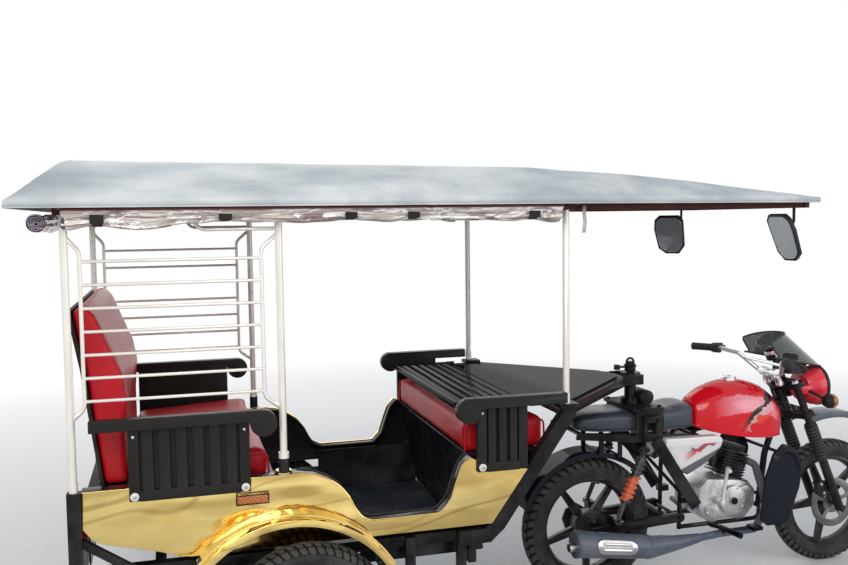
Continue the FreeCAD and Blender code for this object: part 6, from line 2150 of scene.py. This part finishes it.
@dataclass
class EngineTrim:
    """Bolts, a heat shield, silencer seams and outlet, and the tank cap that finish the motorcycle's middle."""

    studs: StudBox
    case_side: float = -0.105
    # Columns: x, z, radius, how far the cover stands out, bolts, first angle.
    covers: Sequence[tuple[float, float, float, float, int, float]] = (
        (0.676, 0.392, 0.066, 0.03, 7, 0.3), (0.744, 0.404, 0.048, 0.02, 4, -0.9),
        (0.588, 0.352, 0.044, 0.012, 5, 1.0))
    pipe_y: float = -0.197

    def build(self) -> None:
        """Builds the trim."""
        self.cover_bolts()
        self.frame_bolts()
        self.heat_shield()
        self.silencer_rings()
        self.tank_cap()

    def cover_bolts(self) -> None:
        """Bolts round the engine's covers and the dark bolt at their middle."""
        spots: list[Spot] = []
        for x, z, radius, out, count, first in self.covers:
            spots += circled((x, self.case_side - out, z), radius - 0.007, count, first, -1.0)
        self.studs.put("cover_bolts", Stud.HEX, spots, 0.0042, STEEL, "motorcycle")
        middle = [((0.676, self.case_side - 0.038, 0.392), (0.0, -1.0, 0.0))]
        self.studs.put("cover_plug", Stud.WASHER, middle, 0.017, FRAME_BLACK, "motorcycle")
        left = circled((0.668, 0.133, 0.396), 0.071, 8, 0.0, 1.0)
        self.studs.put("left_cover_bolts", Stud.HEX, left, 0.0042, STEEL, "motorcycle")

    def frame_bolts(self) -> None:
        """Bolts of the hitch bracket, its braces and the leg guards."""
        spots: list[Spot] = []
        for way, _ in SIDES:
            face = (0.0, float(way), 0.0)
            for x, y, z in ((0.252, 0.1802, 0.712), (0.276, 0.1802, 0.672), (0.452, 0.1802, 0.406),
                            (0.213, 0.1702, 0.802), (0.267, 0.1702, 0.802), (0.213, 0.1702, 0.724)):
                spots.append(((x, way * y, z), face))
        self.studs.put("hitch_bolts", Stud.HEX, spots, 0.0085, FRAME_BLACK, "motorcycle")
        plate = [((x, y, 0.8522), (0.0, 0.0, 1.0)) for x in (0.172, 0.3) for y in (-0.118, 0.118)]
        self.studs.put("saddle_bolts", Stud.HEX, plate, 0.009, FRAME_BLACK, "motorcycle")
        nuts = [((0.22, 0.0, 1.017), (0.0, 0.0, 1.0)), ((0.22, 0.0, 1.024), (0.0, 0.0, 1.0))]
        self.studs.put("kingpin_nuts", Stud.HEX, nuts, 0.021, FRAME_BLACK, "motorcycle")

    def heat_shield(self) -> None:
        """Chrome shield with rounded ends and two ribs on the silencer's outer face."""
        rings = []
        middle, half, round_ = 0.028, 0.096, 0.036
        columns, rows = 64, 26
        for n in range(columns + 1):
            along = -half + 2 * half * n / columns
            over = max(abs(along) - (half - round_), 0.0)
            reach = math.sqrt(max(round_ ** 2 - over ** 2, 1e-6))
            x = middle + along
            share = (x + 0.15) / 0.355
            radius = 0.058 - 0.007 * share + 0.004
            z = 0.302 - 0.052 * share
            ring = []
            for m in range(rows + 1):
                v = 2 * m / rows - 1
                turn = v * reach / 0.056 + 0.16
                fade = min(max(half - 0.022 - abs(along), 0) / 0.012, 1.0)
                rib = 0.0032 * max(1 - abs(abs(v * reach) - 0.013) / 0.0055, 0.0) * fade
                rim = 0.003 * max(abs(v) - 0.86, 0.0) / 0.14
                out = radius + rib - rim
                ring.append(Vector((x, self.pipe_y - out * math.cos(turn), z + out * math.sin(turn))))
            rings.append(ring)
        plate = Shape().skin(rings, closed=False, caps=False).make("heat_shield", SHIELD, "motorcycle", angle=50)
        walled(plate, 0.0014)

    def silencer_rings(self) -> None:
        """Welded seams and the outlet of the silencer, its bore a flat disc painted black with soot and shade."""
        run = Vector((0.355, 0, -0.052)).normalized()
        seams = Shape()
        for share, radius in ((0.02, 0.059), (0.97, 0.052)):
            centre = Vector((-0.15, self.pipe_y, 0.302)) + Vector((0.355, 0, -0.052)) * share
            seams.turn(((-0.004, radius - 0.002), (-0.002, radius + 0.0012), (0.002, radius + 0.0012),
                        (0.004, radius - 0.002)), centre, run, 40)
        seams.make("silencer_seams", MUFFLER, "motorcycle")
        end = Vector((-0.1502, self.pipe_y - 0.008, 0.29))
        outlet = Shape().turn(((-0.03, 0.0), (-0.03, 0.0165), (-0.03, 0.019), (0.004, 0.019), (0.004, 0.0)), end,
                              (1, 0, 0), 28)
        outlet.make("silencer_outlet", STEEL, "motorcycle")
        # Flat black disc across the outlet's end: soot and painted shade standing for the open bore.
        bore = Shape().turn(((-0.0304, 0.0), (-0.0304, 0.016), (-0.03, 0.016)), end, (1, 0, 0), 28)
        bore.make("silencer_bore", SOOT_AND_SHADE, "motorcycle")

    def tank_cap(self) -> None:
        """Plated filler cap with its lock and hinge."""
        shape = Shape()
        centre = Vector((0.735, 0, 0.9385))
        shape.turn(((-0.02, 0.0345), (0.001, 0.0345), (0.0045, 0.0315), (0.005, 0.024), (0.003, 0.022),
                    (0.003, 0.009), (0.0046, 0.008), (0.0046, 0.0)), centre, UP, 40)
        shape.pipe(((0.7, -0.01, 0.941), (0.7, 0.01, 0.941)), 0.004, 10)
        shape.make("tank_cap", CHROME, "motorcycle", angle=30)


@dataclass
class SteeringTrim:
    """What is fitted to the fork and bars: boots, lamp glass, dials, ribs, screen."""

    studs: StudBox
    rake: float = math.radians(22.8)
    axle: Triple = (1.287, 0.0, 0.3)
    fork_half: float = 0.096
    screen_nose: float = 1.262
    screen_low: float = 0.945
    screen_rise: float = 0.192
    screen_lean: float = 1.22
    screen_deep: float = 0.3
    screen_half: float = 0.116

    def up(self) -> Vector:
        """Direction of the steering axis."""
        return Vector((-math.sin(self.rake), 0, math.cos(self.rake)))

    def leg(self, along: float, way: int) -> Vector:
        """Point on a fork leg's middle line."""
        return Vector(self.axle) + self.up() * along + Vector((0, way * self.fork_half, 0))

    def build(self) -> None:
        """Builds the trim of the steering."""
        self.boots()
        self.caliper()
        self.lamp()
        self.dials()
        self.grip_ribs()
        self.blinkers()
        self.screen()
        self.fluid_box()

    def fluid_box(self) -> None:
        """Brake fluid box beside the right grip, with its round lid."""
        box = Shape().block((0.866, -0.262, 1.046), (0.912, -0.214, 1.072))
        box.turn(((-0.003, 0.0), (-0.003, 0.024), (0.004, 0.024), (0.006, 0.022), (0.006, 0.0)),
                 (0.889, -0.238, 1.073), UP, 28)
        box.block((0.872, -0.246, 1.01), (0.904, -0.216, 1.03))
        box.make("brake_fluid_box", SATIN, "steering", 0.003)

    def boots(self) -> None:
        """Ribbed rubber boots on the fork legs and nuts on top of them."""
        shape = Shape()
        folds, length = 10, 0.186
        profile = [(-0.004, 0.021), (-0.004, 0.0275), (0.006, 0.0285)]
        for n in range(folds):
            low = 0.008 + (length - 0.018) * n / folds
            step = (length - 0.018) / folds
            profile += [(low, 0.0262), (low + step * 0.25, 0.031), (low + step * 0.6, 0.031),
                        (low + step * 0.85, 0.0262)]
        profile += [(length - 0.008, 0.025), (length, 0.023), (length, 0.017)]
        for way, _ in SIDES:
            shape.turn(profile, self.leg(0.258, way), self.up(), 26)
        shape.make("fork_boots", GRIP, "steering", angle=50)
        tops = []
        for way, _ in SIDES:
            top = self.leg(0.6598, way)
            tops.append((tuple(top), tuple(self.up())))
        self.studs.put("fork_caps", Stud.HEX, tops, 0.0135, CHROME, "steering")

    def caliper(self) -> None:
        """Brake caliper behind the right leg, astride the disc."""
        outline = ((1.212, 0.334), (1.24, 0.372), (1.228, 0.412), (1.2, 0.428), (1.172, 0.404), (1.176, 0.358))
        shape = Shape().prism(outline, -0.084, -0.0575, "Y")
        bridge = ((1.206, 0.396), (1.228, 0.412), (1.2, 0.428), (1.172, 0.404), (1.184, 0.388))
        shape.prism(bridge, -0.06, -0.046, "Y")
        shape.make("brake_caliper", SATIN, "steering", 0.004)
        spots = [((1.198, -0.0842, 0.404), (0.0, -1.0, 0.0)), ((1.214, -0.0842, 0.36), (0.0, -1.0, 0.0))]
        self.studs.put("caliper_bolts", Stud.HEX, spots, 0.006, STEEL, "steering")

    def lamp(self) -> None:
        """Black ring, bright dish and moulded glass of the headlamp."""
        centre = Vector((1.226, 0, 0.872))
        ring = Shape().turn(((-0.014, 0.0965), (-0.006, 0.0985), (0.003, 0.0975), (0.0065, 0.093), (0.006, 0.0875),
                             (-0.001, 0.087)), centre, (1, 0, 0), 56)
        ring.make("headlamp_ring", SATIN, "steering", angle=40)
        dish = Shape().turn(((0.0008, 0.09), (0.0012, 0.06), (0.001, 0.0)), centre, (1, 0, 0), 48)
        dish.make("headlamp_dish", MIRROR, "steering")
        glass = Shape().turn(((0.0015, 0.088), (0.008, 0.078), (0.013, 0.056), (0.016, 0.03), (0.017, 0.0)),
                             centre, (1, 0, 0), 48)
        glass.make("headlamp_glass", CLEAR_LENS, "steering", angle=80)

    def dials(self) -> None:
        """Dial faces with ticks and needles, under chrome rims."""
        up = self.up()
        ahead = Vector((math.cos(self.rake), 0, math.sin(self.rake)))
        rims, faces, marks, needles = Shape(), Shape(), Shape(), Shape()
        for way, _ in SIDES:
            centre = Vector((1.0056, way * 0.042, 1.0493))
            rims.turn(((-0.012, 0.0402), (0.001, 0.0412), (0.004, 0.04), (0.0045, 0.037), (0.0004, 0.0362)),
                      centre, up, 40)
            faces.turn(((0.0004, 0.0366), (0.0008, 0.02), (0.0008, 0.0)), centre, up, 40)
            for n in range(21):
                turn = math.radians(-130 + 13 * n)
                out = ahead * math.cos(turn) + Vector((0, math.sin(turn), 0))
                inner = 0.027 if n % 5 == 0 else 0.03
                marks.pipe((centre + out * inner + up * 0.0012, centre + out * 0.0345 + up * 0.001), 0.0006, 4)
            hand = -ahead * 0.75 + Vector((0, 0.6 * way, 0))
            needles.pipe((centre + up * 0.0022, centre + hand.normalized() * 0.026 + up * 0.0022), (0.0016, 0.0005), 5)
            needles.turn(((0.0, 0.0045), (0.003, 0.004), (0.0036, 0.0)), centre + up * 0.0008, up, 16)
        rims.make("dial_rims", CHROME, "steering", angle=35)
        faces.make("dial_faces", GLOSS, "steering")
        marks.make("dial_marks", TAPE, "steering")
        needles.make("dial_needles", LAMP_RED, "steering")

    def grip_ribs(self) -> None:
        """Ribbed rubber over each grip, with its collar."""
        shape = Shape()
        for way, _ in SIDES:
            end = Vector((0.8, way * 0.392, 1.03))
            run = (Vector((0.858, way * 0.255, 1.036)) - end).normalized()
            profile = [(-0.0055, 0.0), (-0.0055, 0.0185), (0.001, 0.0195)]
            for n in range(22):
                low = 0.003 + n * 0.0048
                profile += [(low, 0.0168), (low + 0.0012, 0.0182), (low + 0.0028, 0.0182), (low + 0.004, 0.0168)]
            profile += [(0.11, 0.023), (0.116, 0.0235), (0.1175, 0.0168)]
            shape.turn(profile, end, run, 24)
        shape.make("grip_ribs", GRIP, "steering", angle=40)

    def blinkers(self) -> None:
        """Amber glass on the indicators' front."""
        shape = Shape()
        for way, _ in SIDES:
            shape.turn(((0.004, 0.0342), (0.012, 0.0352), (0.02, 0.034), (0.03, 0.0285), (0.038, 0.021),
                        (0.042, 0.011), (0.043, 0.0)), (1.176, way * 0.15, 0.822), (1, 0, 0), 32)
        shape.make("indicator_glass", AMBER, "steering", angle=50)

    def screen_point(self, turn: float, lift: float) -> Vector:
        """Point of the screen's outer face.

        Args:
            turn: angle round its plan curve.
            lift: height above its foot.

        Returns:
            The point.
        """
        nose = self.screen_nose - self.screen_deep - lift * self.screen_lean
        return Vector((nose + self.screen_deep * math.cos(turn), self.screen_half * math.sin(turn),
                       self.screen_low + lift))

    def screen_span(self, turn: float) -> Pair:
        """Lowest and highest lift of the screen at one angle.

        Args:
            turn: angle round its plan curve.

        Returns:
            Both lifts.
        """
        # The numbers are points and slopes of the side view's edges.
        high = self.screen_rise
        foot = self.screen_point(turn, 0.0)
        low = (0.952 + (1.3 - foot.x) * 0.21 - foot.z) / (1 - 0.21 * self.screen_lean)
        high = min(high, (1.16 - (foot.x - 1.06) * 0.625 - foot.z) / (1 - 0.625 * self.screen_lean))
        high = min(high, (foot.x - 0.9 + (foot.z - 1.036) * 0.5577) / (self.screen_lean - 0.5577))
        high -= 0.02 * abs(turn) ** 3
        return low, max(high, low + 0.002)

    def screen(self) -> None:
        """Smoked screen as one curved sheet with a black rim."""
        columns, rows = 56, 22
        rings = []
        first, last = [], []
        for n in range(columns + 1):
            turn = math.radians(-80 + 160 * n / columns)
            low, high = self.screen_span(turn)
            ring = [self.screen_point(turn, low + (high - low) * m / rows) for m in range(rows + 1)]
            rings.append(ring)
            first.append(ring[0])
            last.append(ring[-1])
        sheet = Shape().skin(rings, closed=False, caps=False).make("smoked_screen", SMOKE, "steering", angle=60)
        walled(sheet, 0.003)
        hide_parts("fly_screen")
        rim = last + first[::-1]
        Shape().pipe(rim + [rim[0]], 0.0042, 8).make("screen_rim", GRIP, "steering", angle=60)


@dataclass
class Mirrors:
    """Glass of the mirrors that hang from the canopy's front."""

    place: Triple = (0.69, 0.45, 1.603)
    half: float = 0.075
    tall: float = 0.103
    thick: float = 0.008
    lean: float = math.radians(22)
    turn: float = math.radians(44)
    outline: Sequence[Pair] = ((-0.55, -1), (0.35, -1), (0.82, -0.72), (1, 0.3), (0.9, 0.8), (0.6, 1), (-0.72, 1),
                               (-1, 0.75), (-0.95, -0.6))

    def build(self) -> None:
        """Builds both glasses, set in their black housings."""
        glass = Shape()
        for way, _ in SIDES:
            pane = Shape()
            wide, high = way * self.half * 0.9, self.tall * 0.92
            corners = rounded_loop([Vector((0, u * wide, v * high)) for u, v in self.outline], 0.016)
            pane.prism([(p.y, p.z) for p in corners], -self.thick - 0.0012, -self.thick + 0.0006, "X")
            spin = Matrix.Rotation(self.turn * (1 + way) / 2, 4, "Z") @ Matrix.Rotation(-self.lean, 4, "Y")
            at = Matrix.Translation((self.place[0], way * self.place[1], self.place[2])) @ spin
            bmesh.ops.transform(pane.mesh, matrix=at, verts=pane.mesh.verts)
            merge_into(glass, pane)
        glass.make("mirror_glass", MIRROR, "carriage", 0.0008)


class Studio:
    """Pale floor, soft light and the photograph's camera."""

    focal: float = 899.0
    yaw: float = math.radians(15.81)
    pitch: float = math.radians(4.02)
    roll: float = math.radians(-0.74)
    place: Triple = (-1.78, -3.643, 1.697)
    frame_width: int = 848

    def build(self) -> None:
        """Sets the stage, the lamps and the camera."""
        scene = bpy.context.scene
        scene.view_settings.view_transform = "Standard"
        self.floor()
        self.light()
        self.camera()

    def camera(self) -> None:
        """Camera solved from the photograph."""
        data = bpy.data.cameras.new("camera")
        data.sensor_width = 36.0
        data.lens = self.focal * 36.0 / self.frame_width
        data.clip_end = 100
        camera = placed("camera", data)
        ahead = Vector((math.sin(self.yaw) * math.cos(self.pitch), math.cos(self.yaw) * math.cos(self.pitch),
                        -math.sin(self.pitch)))
        right = Vector((math.cos(self.yaw), -math.sin(self.yaw), 0))
        up = right.cross(ahead)
        right_r = right * math.cos(self.roll) + up * math.sin(self.roll)
        up_r = up * math.cos(self.roll) - right * math.sin(self.roll)
        turn = Matrix((right_r, up_r, -ahead)).transposed().to_4x4()
        camera.matrix_world = Matrix.Translation(Datum.place(self.place)) @ turn
        bpy.context.scene.camera = camera

    def seen(self, paint: Paint) -> Value:
        """1 for rays that come from the camera, off gloss or through glass.

        Args:
            paint: the material that asks.

        Returns:
            1 for such rays, 0 for others.
        """
        rays = paint.node("ShaderNodeLightPath", {}, {})
        share = Value(paint, rays.outputs["Is Camera Ray"])
        for kind in ("Is Glossy Ray", "Is Transmission Ray"):
            share = share.most(Value(paint, rays.outputs[kind]))
        return share

    def floor(self) -> None:
        """Pale floor that keeps the shadow and fades into the white backdrop."""
        data = bpy.data.meshes.new("floor")
        data.from_pydata([(-60, -60, 0), (60, -60, 0), (60, 60, 0), (-60, 60, 0)], [], [(0, 1, 2, 3)])
        ground = placed("floor", data)
        paint = Paint("pale_floor")
        speck = paint.noise(40, 3)
        base = paint.mix(speck.rise(0.2, 0.8), (0.66, 0.66, 0.655), (0.71, 0.71, 0.705))
        x, y = paint.axis("X"), paint.axis("Y")
        reach = (x * x + y * y).power(0.5)
        lit = paint.value("ShaderNodeBsdfPrincipled", {}, {"Base Color": base, "Roughness": 0.9,
                                                           "Specular IOR Level": 0.1})
        white = paint.value("ShaderNodeEmission", {}, {"Color": (1.0, 1.0, 1.0), "Strength": 1.0})
        far = reach.rise(2.2, 7.0) * self.seen(paint)
        join = paint.value("ShaderNodeMixShader", {}, {0: far, 1: lit, 2: white})
        paint.node("ShaderNodeOutputMaterial", {}, {"Surface": join})
        data.materials.append(paint.material)

    def light(self) -> None:
        """White surroundings where they are seen, with a soft key and fill."""
        world = bpy.data.worlds.new("studio")
        bpy.context.scene.world = world
        paint = Paint("studio", world)
        soft = paint.value("ShaderNodeBackground", {}, {"Color": (0.84, 0.89, 0.96), "Strength": 0.62})
        white = paint.value("ShaderNodeBackground", {}, {"Color": (1.0, 1.0, 1.0), "Strength": 1.0})
        join = paint.value("ShaderNodeMixShader", {}, {0: self.seen(paint), 1: soft, 2: white})
        paint.node("ShaderNodeOutputWorld", {}, {"Surface": join})
        # Columns: name, place, aim, size, power, colour.
        lamps = (("key", (-2.8, -4.6, 3.9), (-0.5, 0, 0.9), 3.0, 165, (1.0, 0.97, 0.92)),
                 ("fill", (3.2, -4.2, 2.2), (0.6, 0, 0.7), 3.0, 60, (0.95, 0.97, 1.0)),
                 ("back", (-0.6, 4.5, 4.0), (-0.5, 0, 1.0), 3.5, 70, (1.0, 1.0, 1.0)))
        for name, place, aim, size, power, colour in lamps:
            data = bpy.data.lights.new(name, "AREA")
            data.shape = "SQUARE"
            data.size = size
            data.energy = power
            data.color = colour
            lamp = placed(name, data)
            lamp.location = Datum.place(place)
            lamp.rotation_euler = (Vector(aim) - Vector(place)).to_track_quat("-Z", "Y").to_euler()


def main() -> None:
    """Builds every sub-assembly in order and closes the scene."""
    logging.basicConfig(level=logging.INFO, format="%(name)s: %(message)s")
    studs = StudBox()
    Bodywork(studs).build()
    Benches().build()
    CartRunning().build()
    Canopy(studs).build()
    FilmRolls().build()
    Motorcycle(studs).build()
    EngineTrim(studs).build()
    SteeringTrim(studs).build()
    Mirrors().build()
    Studio().build()


if __name__ == "__main__":
    main()
